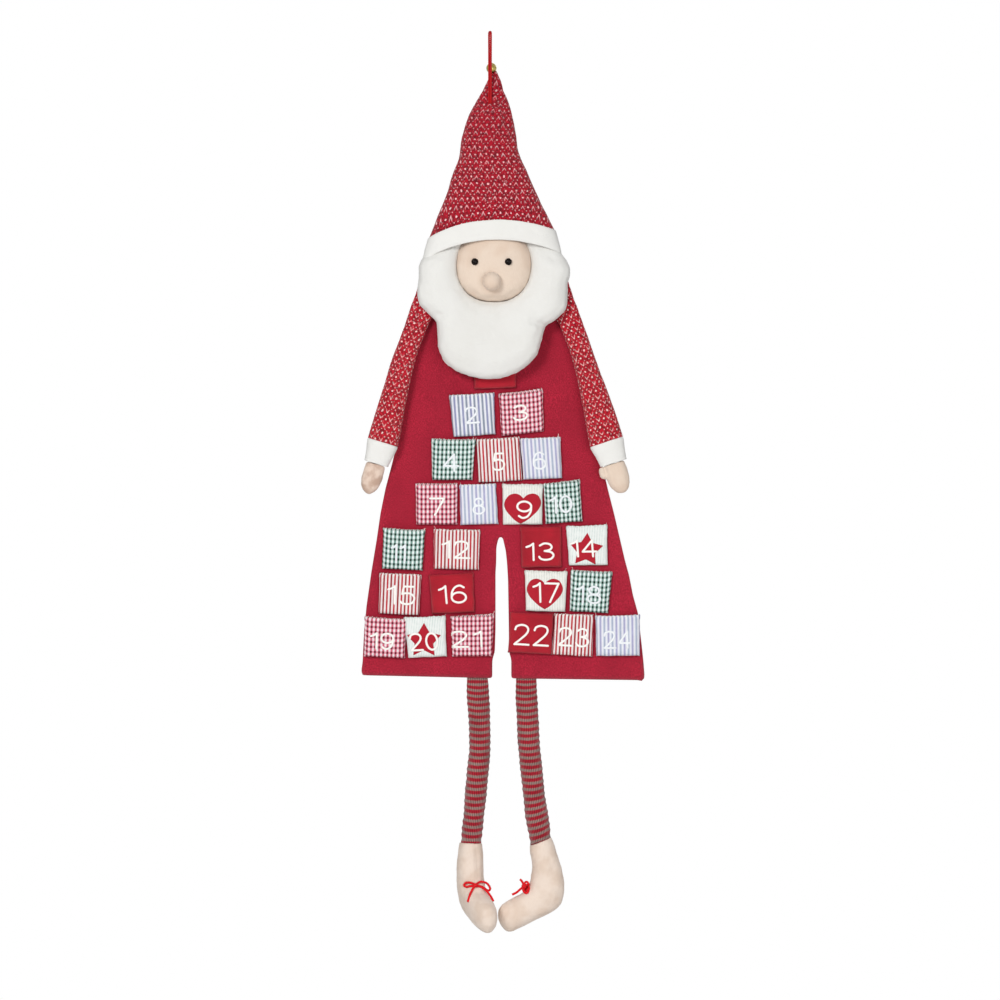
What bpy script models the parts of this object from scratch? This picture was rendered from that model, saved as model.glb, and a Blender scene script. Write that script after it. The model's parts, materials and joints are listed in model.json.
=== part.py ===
"""A hanging cloth advent calendar: a bearded doll whose felt body carries 24 day pockets.

Metres, +Z up. The doll faces -Y and hangs against a wall. The origin is the top of its cord loop.
Left and right are as the viewer sees them. A distance called out is measured forward from the wall.
"""

import math

import bmesh
import bpy
from mathutils import Matrix, Vector
from mathutils.bvhtree import BVHTree

# Clearances
GAP = 0.0003
MERGE = 0.00001
WALL_TO_CORD = 0.020

# Hanging cord
CORD_DIAMETER = 0.0025
CORD_STEP = 0.0056

# Bell on the hat's tip
BELL_DIAMETER = 0.015
BELL_WALL = 0.0006
BELL_SLOT = 0.0018
PELLET_DIAMETER = 0.005

# Hat and its band
TIP_DROP = 0.0595
HAT_HEIGHT = 0.2058
HAT_WIDTH = 0.173
HAT_DEPTH = 0.047
HAT_TUCK = 0.0082
BRIM_ARCH = 0.0172
BRIM_TILT = 0.0035
BAND_HEIGHT = 0.0283
BAND_CLOTH = 0.002
BAND_FLARE = 0.0095
BAND_SAG = 0.0045

# Head
HEAD_SHIFT = 0.0053
FACE_WIDTH = 0.1043
FACE_HEIGHT = 0.1016
FACE_DEPTH = 0.0415
FACE_CLEAR = 0.0011
HEAD_BACK_WIDTH = 0.122
HEAD_BACK_HEIGHT = 0.112
EYE_DIAMETER = 0.0098
EYE_SPACING = 0.0469
EYE_RISE = 0.0038
FEATURE_SHIFT = -0.003
NOSE_DIAMETER = 0.0275
NOSE_DROP = 0.0235

# Beard
BEARD_OVERHANG = 0.037
BEARD_LENGTH = 0.1614
BEARD_BACK_PUFF = 0.008
BEARD_FRONT_PUFF = 0.018

# Body of two felts and a thin wadding
FELT = 0.0015
WADDING = 0.004
WADDING_INSET = 0.006
BODY_SHIFT = 0.0193
NECK_DROP = 0.0305
YOKE_HEIGHT = 0.0865
HEM_HEIGHT = 0.0275
SIDE_MARGIN = 0.0077
SLOT_WIDTH = 0.0205
SLOT_HEIGHT = 0.198
SLOT_SHIFT = -0.0028

# Day pockets
POCKET_WIDTH = 0.0595
POCKET_HEIGHT = 0.058
ROW_GAP = 0.0047
POCKET_BULGE = 0.0105
POCKET_CLOTH = 0.0008
HEM_POCKETS = 6
ROWS = 7

# Arms
SHOULDER_WIDTH = 0.1757
SHOULDER_DROP = 0.001
SHOULDER_RADIUS = 0.0155
ARM_ANGLE = {"left": math.radians(17.0), "right": math.radians(17.7)}
SLEEVE_LENGTH = 0.227
SLEEVE_WIDTH = 0.046
SLEEVE_DEPTH = 0.027
ARM_BOW = 0.006
CUFF_LENGTH = 0.031
CUFF_WIDTH = 0.046
HAND_LENGTH = 0.0435
HAND_WIDTH = 0.032
HAND_DEPTH = 0.020
THUMB_LENGTH = 0.0175
THUMB_WIDTH = 0.012

# Legs and feet
HIP_FROM_SLOT = 0.024
LEG_LENGTH = 0.226
LEG_DIAMETER = 0.0295
HIP_SEAM = 0.0024
ANKLE_OUT = 0.034
FOOT_LENGTH = 0.0931
FOOT_HEIGHT = 0.126
FOOT_THICKNESS = 0.033
FOOT_YAW = {"left": math.radians(-66), "right": math.radians(180)}
FOOT_LEAN = {"left": 0.042, "right": 0.0}

# Bows on the feet
BOW_CORD = 0.002
BOW_KNOT = 0.006
BOW_WIDTH = 0.038

# Detail of the round forms
HAT_SIDES = 20
HEAD_SIDES = 22
BEARD_SIDES = 12
LIMB_SIDES = 12

# The loop's route, up one strand, over the top and down the other
cord_route = [
    (-0.00155, -0.0036, -0.1020), (-0.00155, -0.0012, -0.0970), (-0.00155, 0.0, -0.0900),
    (-0.00155, 0.0, -0.0830), (-0.00155, 0.0, -0.0740), (-0.00155, 0.0, -0.0600),
    (-0.00155, 0.0, -0.0460), (-0.00155, 0.0004, -0.0340), (-0.0015, 0.0016, -0.0250),
    (-0.0013, 0.0036, -0.0175), (-0.0010, 0.0054, -0.0115), (-0.0006, 0.0060, -0.0073),
    (-0.0003, 0.0043, -0.0031), (0.0, 0.0, -0.00125), (0.0003, -0.0043, -0.0031),
    (0.0006, -0.0060, -0.0073), (0.0010, -0.0054, -0.0115), (0.0013, -0.0036, -0.0175),
    (0.0015, -0.0016, -0.0250), (0.00155, -0.0004, -0.0340), (0.00155, 0.0, -0.0460),
    (0.00155, 0.0, -0.0600), (0.00155, 0.0, -0.0740), (0.00155, 0.0, -0.0830), (0.00155, 0.0, -0.0900),
    (0.00155, -0.0012, -0.0970), (0.00155, -0.0036, -0.1020),
]

# Down the hat: shares of its height, then centre and half width of its width, back and front of its
# depth, and how much of the brim's arch the section follows
hat_shares = [
    (0.0, 0.024, 0.05, 0.17, 0.30, 0.0), (0.044, 0.035, 0.104, 0.14, 0.36, 0.0),
    (0.112, 0.024, 0.172, 0.117, 0.374, 0.0), (0.18, 0.019, 0.259, 0.106, 0.380, 0.0),
    (0.207, 0.016, 0.286, 0.096, 0.468, 0.0), (0.248, 0.008, 0.324, 0.085, 0.553, 0.0),
    (0.316, 0.002, 0.372, 0.077, 0.617, 0.0), (0.384, -0.002, 0.411, 0.070, 0.66, 0.0),
    (0.452, -0.010, 0.445, 0.066, 0.70, 0.0), (0.52, -0.012, 0.461, 0.064, 0.745, 0.0),
    (0.588, -0.002, 0.506, 0.064, 0.787, 0.0), (0.656, -0.001, 0.581, 0.064, 0.83, 0.0),
    (0.724, 0.004, 0.646, 0.064, 0.872, 0.0), (0.793, 0.014, 0.70, 0.064, 0.915, 0.0),
    (0.861, 0.019, 0.765, 0.064, 0.957, 0.0), (0.929, 0.016, 0.877, 0.064, 0.985, 0.35),
    (1.0, 0.015, 0.987, 0.064, 1.0, 1.0),
]

# Forward from the head's back: depth share, then half width and half height of the head's back
head_back_shares = [
    (0.0, 0.80, 0.80), (0.12, 0.94, 0.94), (0.42, 1.0, 1.0), (0.80, 0.97, 0.97), (1.0, 0.87, 0.90),
]

# Forward over the face: depth share and outline share
face_shares = [
    (0.06, 1.0), (0.32, 1.0), (0.52, 0.965), (0.68, 0.89), (0.80, 0.78), (0.89, 0.63), (0.95, 0.46),
    (0.985, 0.26), (1.0, 0.09),
]

# Round the beard from the viewer's left: place along the face's edge in degrees, outer edge as shares
# of its half width and length, and padding share
beard_shares = [
    (151.7, -0.96, 0.026, 0.75), (168.9, -0.986, -0.016, 1.0), (182.8, -0.983, -0.12, 1.0),
    (196.8, -1.015, -0.232, 1.0), (209.9, -0.99, -0.345, 1.0), (219.1, -0.863, -0.432, 0.97),
    (225.0, -0.773, -0.484, 0.93), (230.5, -0.757, -0.623, 0.97), (238.2, -0.737, -0.744, 1.0),
    (246.7, -0.65, -0.857, 1.0), (254.8, -0.49, -0.931, 1.0), (264.2, -0.29, -0.978, 1.0),
    (271.9, -0.077, -1.0, 1.0), (279.6, 0.137, -0.983, 1.0), (287.2, 0.337, -0.931, 1.0),
    (295.0, 0.483, -0.857, 1.0), (301.3, 0.583, -0.779, 1.0), (308.2, 0.643, -0.657, 0.97),
    (314.4, 0.69, -0.527, 0.93), (321.8, 0.843, -0.467, 0.97), (328.8, 0.977, -0.38, 1.0),
    (338.6, 0.994, -0.25, 1.0), (354.2, 0.97, -0.154, 1.0), (366.5, 1.017, -0.059, 1.0),
    (382.5, 0.965, 0.022, 0.75),
]

# The beard's two upper ends inside the band: place along the face's edge, outer edge as shares of the
# band's inner half width and of its height above the band's lower edge, and padding share
beard_left_end_share = (139.6, -0.87, 0.42, 0.40)
beard_right_end_share = (398.2, 0.84, 0.42, 0.40)

# Body outline from the neck down each side: shares of its half width and height
body_left_shares = [
    (-0.411, 0.0), (-0.511, 0.015), (-0.546, 0.048), (-0.574, 0.105), (-0.631, 0.194), (-0.695, 0.291),
    (-0.752, 0.385), (-0.801, 0.457), (-0.844, 0.515), (-0.879, 0.577), (-0.908, 0.648), (-0.943, 0.724),
    (-0.979, 0.814), (-0.996, 0.878), (-1.005, 0.941), (-1.009, 0.985), (-0.995, 0.997),
]
body_right_shares = [
    (0.986, 1.0), (1.005, 0.99), (0.996, 0.954), (0.98, 0.903), (0.958, 0.834), (0.922, 0.788),
    (0.894, 0.737), (0.865, 0.699), (0.837, 0.656), (0.787, 0.579), (0.745, 0.52), (0.695, 0.444),
    (0.66, 0.385), (0.596, 0.291), (0.539, 0.194), (0.482, 0.105), (0.447, 0.048), (0.411, 0.015),
    (0.312, 0.0),
]

# The slot between the trouser legs, up its left side and down its right: half width and height shares
slot_shares = [
    (-1.0, 0.0), (-1.0, 0.10), (-0.85, 0.35), (-0.85, 0.75), (-0.62, 0.92), (-0.25, 0.99), (0.25, 0.99),
    (0.62, 0.90), (0.85, 0.70), (0.95, 0.40), (1.0, 0.10), (1.0, 0.0),
]

# Each day's row, the side of the slot that it lies on, its centre from there and its rise as shares of
# a pocket's width and height, its width share, its tilt in degrees and its cloth
pocket_shares = {
    1: (0, -1, 0.0, 0.07, 1.0, 2.0, "plain_red"),
    2: (1, -1, -0.507, -0.015, 0.99, 3.0, "blue_stripe"),
    3: (1, 1, 0.295, 0.043, 0.94, 6.0, "red_gingham"),
    4: (2, -1, -0.989, 0.0, 0.99, 0.3, "green_gingham"),
    5: (2, -1, 0.10, -0.015, 0.97, 3.2, "red_stripe"),
    6: (2, 1, 0.760, 0.02, 0.905, 1.8, "blue_stripe"),
    7: (3, -1, -1.375, 0.0, 0.96, 0.0, "red_gingham"),
    8: (3, -1, -0.389, -0.005, 0.85, 2.2, "blue_stripe"),
    9: (3, 1, 0.316, -0.012, 0.95, 0.0, "cream_heart"),
    10: (3, 1, 1.270, 0.05, 0.81, 3.8, "green_gingham"),
    11: (4, -1, -2.148, -0.018, 0.98, -2.7, "green_gingham"),
    12: (4, -1, -0.889, 0.0, 1.04, -1.3, "red_stripe"),
    13: (4, 1, 0.754, 0.034, 0.96, 1.0, "plain_red"),
    14: (4, 1, 1.819, 0.075, 0.90, -0.5, "cream_star"),
    15: (5, -1, -2.231, -0.02, 0.98, -2.4, "red_stripe"),
    16: (5, -1, -0.989, 0.02, 1.01, 3.0, "plain_red"),
    17: (5, 1, 0.863, 0.06, 0.965, -1.4, "cream_heart"),
    18: (5, 1, 1.892, 0.065, 0.915, -1.2, "green_gingham"),
    19: (6, -1, -2.585, 0.03, 0.92, -2.6, "red_gingham"),
    20: (6, -1, -1.600, 0.02, 0.94, 1.5, "cream_star"),
    21: (6, -1, -0.540, 0.085, 0.99, 2.0, "red_gingham"),
    22: (6, 1, 0.520, 0.11, 0.97, -2.0, "plain_red"),
    23: (6, 1, 1.484, 0.095, 0.88, -2.2, "red_stripe"),
    24: (6, 1, 2.540, 0.07, 0.965, 0.8, "blue_stripe"),
}

# A pocket's front: across it, shares of half width and bulge; up it, shares of height and bulge
pocket_across_shares = [
    (-1.0, 0.0), (-0.95, 0.86), (-0.6, 0.98), (0.0, 1.0), (0.6, 0.98), (0.95, 0.86), (1.0, 0.0),
]
pocket_up_shares = [(0.0, 0.0), (0.03, 0.78), (0.14, 1.0), (0.4, 0.98), (0.7, 0.86), (1.0, 0.76)]

# Down a sleeve: share of its length, outward bow, half width and front share of its depth
sleeve_shares = [
    (0.05, 0.15, 0.70, 0.0), (0.16, 0.45, 0.72, 0.08), (0.27, 0.80, 0.65, 0.35), (0.42, 1.0, 0.62, 0.60),
    (0.58, 0.95, 0.68, 0.80), (0.76, 0.70, 0.83, 0.93), (0.90, 0.40, 0.94, 1.0), (1.0, 0.20, 0.99, 1.0),
]
cuff_shares = [(0.0, 1.0, 1.0), (0.5, 0.94, 0.97), (1.0, 0.80, 0.85)]
hand_shares = [
    (0.0, 0.94, 0.90), (0.3, 1.0, 1.0), (0.55, 0.97, 1.0), (0.75, 0.84, 0.90), (0.9, 0.60, 0.66),
    (1.0, 0.24, 0.30),
]

# How wide each arm's lower end is, and where each hand's thumb stands from its middle: inward as a
# share of its half width and back as a share of its half depth
arm_width_shares = {"left": 0.95, "right": 1.05}
thumb_shares = {"left": (0.25, 0.75), "right": (1.15, -0.1)}
thumb_form_shares = [(0.0, 0.60), (0.25, 0.95), (0.6, 1.0), (0.85, 0.75), (1.0, 0.30)]

# Down each leg: share of its length, sideways offset as a share of its length, half width share
leg_shares = {
    "left": [
        (0.10, 0.004, 1.04), (0.20, 0.010, 1.0), (0.32, 0.015, 0.98), (0.45, 0.015, 0.98),
        (0.56, 0.004, 1.04), (0.66, -0.005, 1.0), (0.83, -0.020, 0.95), (0.94, -0.033, 0.96),
        (1.0, -0.038, 0.92),
    ],
    "right": [
        (0.10, 0.001, 1.0), (0.25, 0.009, 1.0), (0.38, 0.014, 1.02), (0.50, 0.025, 1.02),
        (0.60, 0.036, 1.02), (0.72, 0.048, 0.98), (0.83, 0.062, 1.04), (0.94, 0.082, 0.98),
        (1.0, 0.088, 0.93),
    ],
}

# Down a leg from its pinched top: share of its length, back and front shares of its diameter
leg_depth_shares = [(0.10, 0.02, 0.50), (0.20, 0.02, 0.82), (0.30, 0.05, 1.02), (1.0, 0.0, 1.0)]

# Down a foot: share of its height, back and front shares of its length, thickness share
foot_shares = [
    (0.0, -0.165, 0.143, 0.80), (0.09, -0.24, 0.143, 0.92), (0.22, -0.29, 0.128, 0.95),
    (0.33, -0.326, 0.135, 0.95), (0.42, -0.35, 0.15, 0.95), (0.49, -0.36, 0.195, 0.97),
    (0.567, -0.349, 0.27, 1.0), (0.61, -0.338, 0.376, 1.0), (0.655, -0.323, 0.48, 1.0),
    (0.70, -0.293, 0.57, 1.0), (0.745, -0.233, 0.617, 1.0), (0.80, -0.105, 0.639, 0.97),
    (0.867, 0.075, 0.632, 0.9), (0.922, 0.226, 0.597, 0.72), (0.978, 0.376, 0.526, 0.4),
    (1.0, 0.42, 0.50, 0.15),
]

# Each bow as the viewer sees it: its knot's place from the ankle across a foot's length and down its
# height, then its loops and tails from the knot, across and up, as shares of the bow's width
bow_knot_share = {"left": (0.060, 0.475), "right": (-0.240, 0.485)}
bow_loop_shares = {
    "left": [
        [
            (-0.03, 0.035), (-0.20, 0.14), (-0.36, 0.13), (-0.42, 0.02), (-0.34, -0.06), (-0.18, -0.01),
            (-0.03, -0.035),
        ],
        [
            (0.03, 0.035), (0.20, 0.12), (0.42, 0.06), (0.54, -0.12), (0.46, -0.20), (0.24, -0.06),
            (0.03, -0.035),
        ],
    ],
    "right": [
        [(0.02, 0.03), (0.06, 0.16), (0.17, 0.22), (0.24, 0.10), (0.20, -0.02), (0.10, -0.02), (0.03, -0.03)],
        [
            (0.0, -0.04), (-0.02, -0.15), (0.08, -0.27), (0.19, -0.25), (0.20, -0.14), (0.12, -0.08),
            (0.03, -0.05),
        ],
    ],
}
bow_tail_shares = {
    "left": [
        [(0.0, 0.0), (-0.10, -0.14), (-0.20, -0.34), (-0.28, -0.60)],
        [(0.0, 0.0), (0.22, -0.06), (0.42, -0.22), (0.56, -0.40), (0.66, -0.58)],
    ],
    "right": [
        [(0.0, 0.0), (-0.12, -0.10), (-0.26, -0.22), (-0.42, -0.30)],
        [(0.0, 0.0), (-0.02, 0.12), (-0.08, 0.24), (-0.16, 0.30)],
    ],
}

colours = {
    "cord_red": (0.52, 0.002, 0.006, 1.0),
    "bell_brass": (0.30, 0.25, 0.10, 1.0),
    "print_red": (0.40, 0.02, 0.04, 1.0),
    "white_cloth": (0.82, 0.81, 0.77, 1.0),
    "beard_white": (0.84, 0.83, 0.80, 1.0),
    "skin_cloth": (0.78, 0.60, 0.47, 1.0),
    "bead_black": (0.01, 0.01, 0.01, 1.0),
    "felt_red": (0.40, 0.015, 0.035, 1.0),
    "wadding_white": (0.80, 0.80, 0.78, 1.0),
    "stripe_knit": (0.36, 0.09, 0.08, 1.0),
    "plain_red": (0.50, 0.02, 0.04, 1.0),
    "red_gingham": (0.62, 0.25, 0.30, 1.0),
    "green_gingham": (0.25, 0.40, 0.36, 1.0),
    "blue_stripe": (0.55, 0.58, 0.78, 1.0),
    "red_stripe": (0.75, 0.30, 0.28, 1.0),
    "cream_heart": (0.76, 0.75, 0.68, 1.0),
    "cream_star": (0.76, 0.75, 0.66, 1.0),
}
shiny = {"bell_brass": (0.32, 1.0), "bead_black": (0.12, 0.0)}
CLOTH_ROUGHNESS = 0.9

# Places worked out from the sizes above
body_front_out = 2 * FELT + WADDING + 2 * GAP
beard_back_out = body_front_out + POCKET_BULGE + POCKET_CLOTH + 3 * GAP
tip_z = -TIP_DROP
brim_z = tip_z - HAT_HEIGHT
hat_x = hat_shares[-1][1] * HAT_WIDTH
face_top_z = brim_z - HAT_TUCK - BRIM_TILT
face_z = face_top_z - FACE_HEIGHT / 2
band_low_z = brim_z - BAND_HEIGHT
band_inner = HAT_WIDTH / 2 + GAP
band_outer = band_inner + BAND_CLOTH
beard_width = HAT_WIDTH + BEARD_OVERHANG
body_top_z = face_z - NECK_DROP
body_width = HEM_POCKETS * POCKET_WIDTH + SLOT_WIDTH + 2 * SIDE_MARGIN
body_height = YOKE_HEIGHT + ROWS * POCKET_HEIGHT + (ROWS - 1) * ROW_GAP + HEM_HEIGHT
hem_z = body_top_z - body_height
slot_x = BODY_SHIFT + SLOT_SHIFT
hip_x = {"left": slot_x - SLOT_WIDTH / 2 - HIP_FROM_SLOT, "right": slot_x + SLOT_WIDTH / 2 + HIP_FROM_SLOT}
hip_out = FELT
hip_z = hem_z - GAP - HIP_SEAM / 2
ankle_x = {side: hip_x[side] + leg_shares[side][-1][1] * LEG_LENGTH for side in hip_x}
ankle_z = hip_z - LEG_LENGTH
side_sign = {"left": -1, "right": 1}

parts = bpy.data.collections.new("advent_calendar")
cutters = bpy.data.collections.new("cutters")


def at(x, out, z):
    """A point x along the wall, out in front of it and z up."""
    return Vector((x, WALL_TO_CORD - out, z))


def unit_ring(sides, power):
    """Points round a unit circle, squarer for a higher power."""
    ring = []
    for i in range(sides):
        angle = math.tau * i / sides
        c, s = math.cos(angle), math.sin(angle)
        ring.append((math.copysign(abs(c) ** (2 / power), c), math.copysign(abs(s) ** (2 / power), s)))
    return ring


def level_ring(x, half_width, back, front, z, sides, power, arch=0, tilt=0):
    """A ring of points round an upright form, its sides lowered by the arch and tilted."""
    middle, half = (back + front) / 2, (front - back) / 2
    return [
        at(x + half_width * across, middle + half * through, z - arch * across**2 + tilt * across)
        for across, through in unit_ring(sides, power)
    ]


def facing_ring(x, z, half_width, half_height, out, sides, power):
    """A ring of points in a plane that faces the viewer."""
    return [at(x + half_width * a, out, z + half_height * u) for a, u in unit_ring(sides, power)]


def material(name):
    made = bpy.data.materials.get(name)
    if made is None:
        made = bpy.data.materials.new(name)
        made.use_nodes = True
        shader = made.node_tree.nodes["Principled BSDF"]
        roughness, metallic = shiny.get(name, (CLOTH_ROUGHNESS, 0.0))
        shader.inputs["Base Color"].default_value = colours[name]
        shader.inputs["Roughness"].default_value = roughness
        shader.inputs["Metallic"].default_value = metallic
        made.diffuse_color = colours[name]
    return made


def new_object(name, mesh, collection):
    made = bpy.data.objects.new(name, mesh)
    collection.objects.link(made)
    return made


def piece(name, mesh, finish, smooth=True):
    """A named sub-part with its own material."""
    made = new_object(name, mesh, parts)
    mesh.materials.append(material(finish))
    if smooth:
        mesh.shade_smooth()
    return made


def cutter(name, mesh):
    made = new_object(name, mesh, cutters)
    made.hide_render = True
    made.display_type = "WIRE"
    return made


def skin(name, rings, joined=False):
    """A closed mesh through rings of points, capped, or joined from the last ring to the first."""
    bm = bmesh.new()
    rows = [[bm.verts.new(point) for point in ring] for ring in rings]
    follow = rows[1:] + rows[:1] if joined else rows[1:]
    for row, after in zip(rows, follow):
        for i in range(len(row)):
            j = (i + 1) % len(row)
            bm.faces.new((row[i], row[j], after[j], after[i]))
    if not joined:
        bm.faces.new(rows[0])
        bm.faces.new(rows[-1])
    bmesh.ops.recalc_face_normals(bm, faces=bm.faces)
    return mesh_from(name, bm)


def mesh_from(name, bm):
    mesh = bpy.data.meshes.new(name)
    bm.to_mesh(mesh)
    bm.free()
    return mesh


def ball(name, centre, diameter, segments, rings):
    bm = bmesh.new()
    bmesh.ops.create_uvsphere(bm, u_segments=segments, v_segments=rings, radius=diameter / 2)
    bmesh.ops.translate(bm, verts=bm.verts, vec=centre)
    return mesh_from(name, bm)


def boolean(target, other, operation):
    modifier = target.modifiers.new(operation.lower() + "_" + other.name, "BOOLEAN")
    modifier.operation = operation
    modifier.solver = "EXACT"
    modifier.object = other


def curve_mesh(name, curve, matrix):
    """The closed mesh of a curve, with its caps welded to its sides."""
    drawn = new_object(name + "_curve", curve, cutters)
    drawn.matrix_world = matrix
    bpy.context.view_layer.update()
    mesh = bpy.data.meshes.new_from_object(drawn.evaluated_get(bpy.context.evaluated_depsgraph_get()))
    mesh.transform(matrix)
    bpy.data.objects.remove(drawn)
    bm = bmesh.new()
    bm.from_mesh(mesh)
    bmesh.ops.remove_doubles(bm, verts=bm.verts, dist=MERGE)
    bmesh.ops.recalc_face_normals(bm, faces=bm.faces)
    bpy.data.meshes.remove(mesh)
    return mesh_from(name, bm)


def poly_curve(name, points, diameter, resolution):
    """A round tube along points, with filled caps."""
    curve = bpy.data.curves.new(name, "CURVE")
    curve.dimensions = "3D"
    curve.bevel_depth = diameter / 2
    curve.bevel_resolution = resolution
    curve.use_fill_caps = True
    spline = curve.splines.new("POLY")
    spline.points.add(len(points) - 1)
    for spot, point in zip(spline.points, points):
        spot.co = (*point, 1)
    return curve


def smooth_line(points, step):
    """Points about a step apart along a smooth curve through the given ones."""
    points = [Vector(p) for p in points]
    ends = [2 * points[0] - points[1], *points, 2 * points[-1] - points[-2]]
    fine = []
    for a, b, c, d in zip(ends, ends[1:], ends[2:], ends[3:]):
        for i in range(20):
            t = i / 20
            fine.append(
                b + (c - a) * (t / 2) + (2 * a - 5 * b + 4 * c - d) * (t * t / 2)
                + (3 * b - a - 3 * c + d) * (t**3 / 2)
            )
    fine.append(points[-1])
    lengths = [0]
    for a, b in zip(fine, fine[1:]):
        lengths.append(lengths[-1] + (b - a).length)
    count = max(2, round(lengths[-1] / step))
    line, k = [], 0
    for i in range(count + 1):
        want = lengths[-1] * i / count
        while k < len(lengths) - 2 and lengths[k + 1] < want:
            k += 1
        line.append(fine[k].lerp(fine[k + 1], (want - lengths[k]) / (lengths[k + 1] - lengths[k])))
    return line


def panel(name, outline, back, thickness):
    """A flat sheet cut to an outline, with its back face out from the wall."""
    curve = bpy.data.curves.new(name, "CURVE")
    curve.dimensions = "2D"
    curve.fill_mode = "BOTH"
    curve.extrude = thickness / 2
    spline = curve.splines.new("POLY")
    spline.points.add(len(outline) - 1)
    for spot, (x, z) in zip(spline.points, outline):
        spot.co = (x, z, 0, 1)
    spline.use_cyclic_u = True
    upright = Matrix.Translation(at(0, back + thickness / 2, 0)) @ Matrix.Rotation(math.pi / 2, 4, "X")
    return curve_mesh(name, curve, upright)


def pivot(name, place, parent=None):
    """An empty on a joint's axis, which the moving pieces hang from."""
    empty = bpy.data.objects.new(name, None)
    parts.objects.link(empty)
    empty.matrix_world = Matrix.Translation(place)
    bpy.context.view_layer.update()
    if parent:
        hang(empty, parent)
    return empty


def hang(made, parent):
    """Parents a piece with its origin on the parent's axis, leaving it where it is."""
    place = parent.matrix_world.translation.copy()
    if made.type == "MESH":
        made.data.transform(Matrix.Translation(-place))
        made.location = place
    made.parent = parent
    made.matrix_parent_inverse = parent.matrix_world.inverted()
    bpy.context.view_layer.update()


def make_cord():
    line = smooth_line(cord_route, CORD_STEP)
    curve = poly_curve("hanging_cord", line, CORD_DIAMETER, 2)
    curve.materials.append(material("cord_red"))
    new_object("hanging_cord", curve, parts)


def hat_ring(station, reach=1.0, drop=0.0):
    down, centre, half, back, front, arch = station
    return level_ring(
        centre * HAT_WIDTH, reach * half * HAT_WIDTH / 2,
        back * HAT_DEPTH + (1 - reach) * HAT_DEPTH / 2, front * HAT_DEPTH - (1 - reach) * HAT_DEPTH / 2,
        tip_z - down * HAT_HEIGHT - drop, HAT_SIDES, 2.6,
        arch * BRIM_ARCH * reach**2, arch * BRIM_TILT * reach,
    )


def make_hat():
    rings = [hat_ring(station) for station in hat_shares]
    rings += [hat_ring(hat_shares[-1], reach, HAT_TUCK) for reach in (1.0, 0.7, 0.35)]
    piece("hat", skin("hat", rings), "print_red")


def band_ring(half_width, back, front, z, arch):
    return level_ring(hat_x, half_width, back, front, z, HAT_SIDES + 4, 2.6, arch, BRIM_TILT)


def make_band():
    """A strip of white cloth round the hat's brim."""
    low_inner = band_inner + BAND_FLARE
    back = hat_shares[-1][3] * HAT_DEPTH - GAP
    front = HAT_DEPTH + GAP
    arch, low_arch = BRIM_ARCH, BRIM_ARCH + BAND_SAG
    rings = [
        band_ring(band_inner, back, front, brim_z, arch),
        band_ring(band_outer, back - BAND_CLOTH, front + BAND_CLOTH, brim_z, arch),
        band_ring(low_inner + BAND_CLOTH, back - BAND_CLOTH, front + 2 * BAND_CLOTH, band_low_z, low_arch),
        band_ring(low_inner, back, front + BAND_CLOTH, band_low_z, low_arch),
    ]
    piece("hat_band", skin("hat_band", rings, joined=True), "white_cloth")


def make_bell():
    out = WALL_TO_CORD - CORD_DIAMETER / 2 - BELL_DIAMETER / 2 - GAP
    centre = at(hat_shares[0][1] * HAT_WIDTH / 2, out, tip_z)
    centre.z += BELL_DIAMETER / 2 + GAP
    bell = piece("bell", ball("bell", centre, BELL_DIAMETER, 16, 10), "bell_brass")
    hollow = BELL_DIAMETER - 2 * BELL_WALL
    boolean(bell, cutter("bell_hollow", ball("bell_hollow", centre, hollow, 16, 10)), "DIFFERENCE")
    bm = bmesh.new()
    bmesh.ops.create_cube(bm, size=1)
    size = (BELL_DIAMETER * 0.72, BELL_SLOT, BELL_DIAMETER)
    bmesh.ops.scale(bm, verts=bm.verts, vec=size)
    bmesh.ops.translate(bm, verts=bm.verts, vec=centre + Vector((0, 0, BELL_DIAMETER / 2)))
    boolean(bell, cutter("bell_slot", mesh_from("bell_slot", bm)), "DIFFERENCE")
    low = centre - Vector((0, 0, hollow / 2 - PELLET_DIAMETER / 2 - 2 * GAP))
    piece("bell_pellet", ball("bell_pellet", low, PELLET_DIAMETER, 8, 6), "bell_brass")


def head_mesh(name, grown):
    """The stuffed head: a wide flat back against the felt and a round face in front of it."""
    back_z = face_top_z - HEAD_BACK_HEIGHT / 2 - BRIM_ARCH / 8
    back_out, back_deep = body_front_out + GAP, beard_back_out - body_front_out - 2 * GAP
    rings = []
    for out, wide, high in head_back_shares:
        rings.append(facing_ring(
            HEAD_SHIFT, back_z, wide * HEAD_BACK_WIDTH / 2 + grown, high * HEAD_BACK_HEIGHT / 2 + grown,
            back_out + out * back_deep - (grown if out == 0 else 0), HEAD_SIDES, 2.25,
        ))
    room = body_front_out + FACE_DEPTH - beard_back_out
    for out, reach in face_shares:
        rings.append(facing_ring(
            HEAD_SHIFT, face_z, reach * FACE_WIDTH / 2 + grown, reach * FACE_HEIGHT / 2 + grown,
            beard_back_out + out * room + (grown if reach < 1 else 0), HEAD_SIDES, 2.25,
        ))
    return skin(name, rings)


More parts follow.
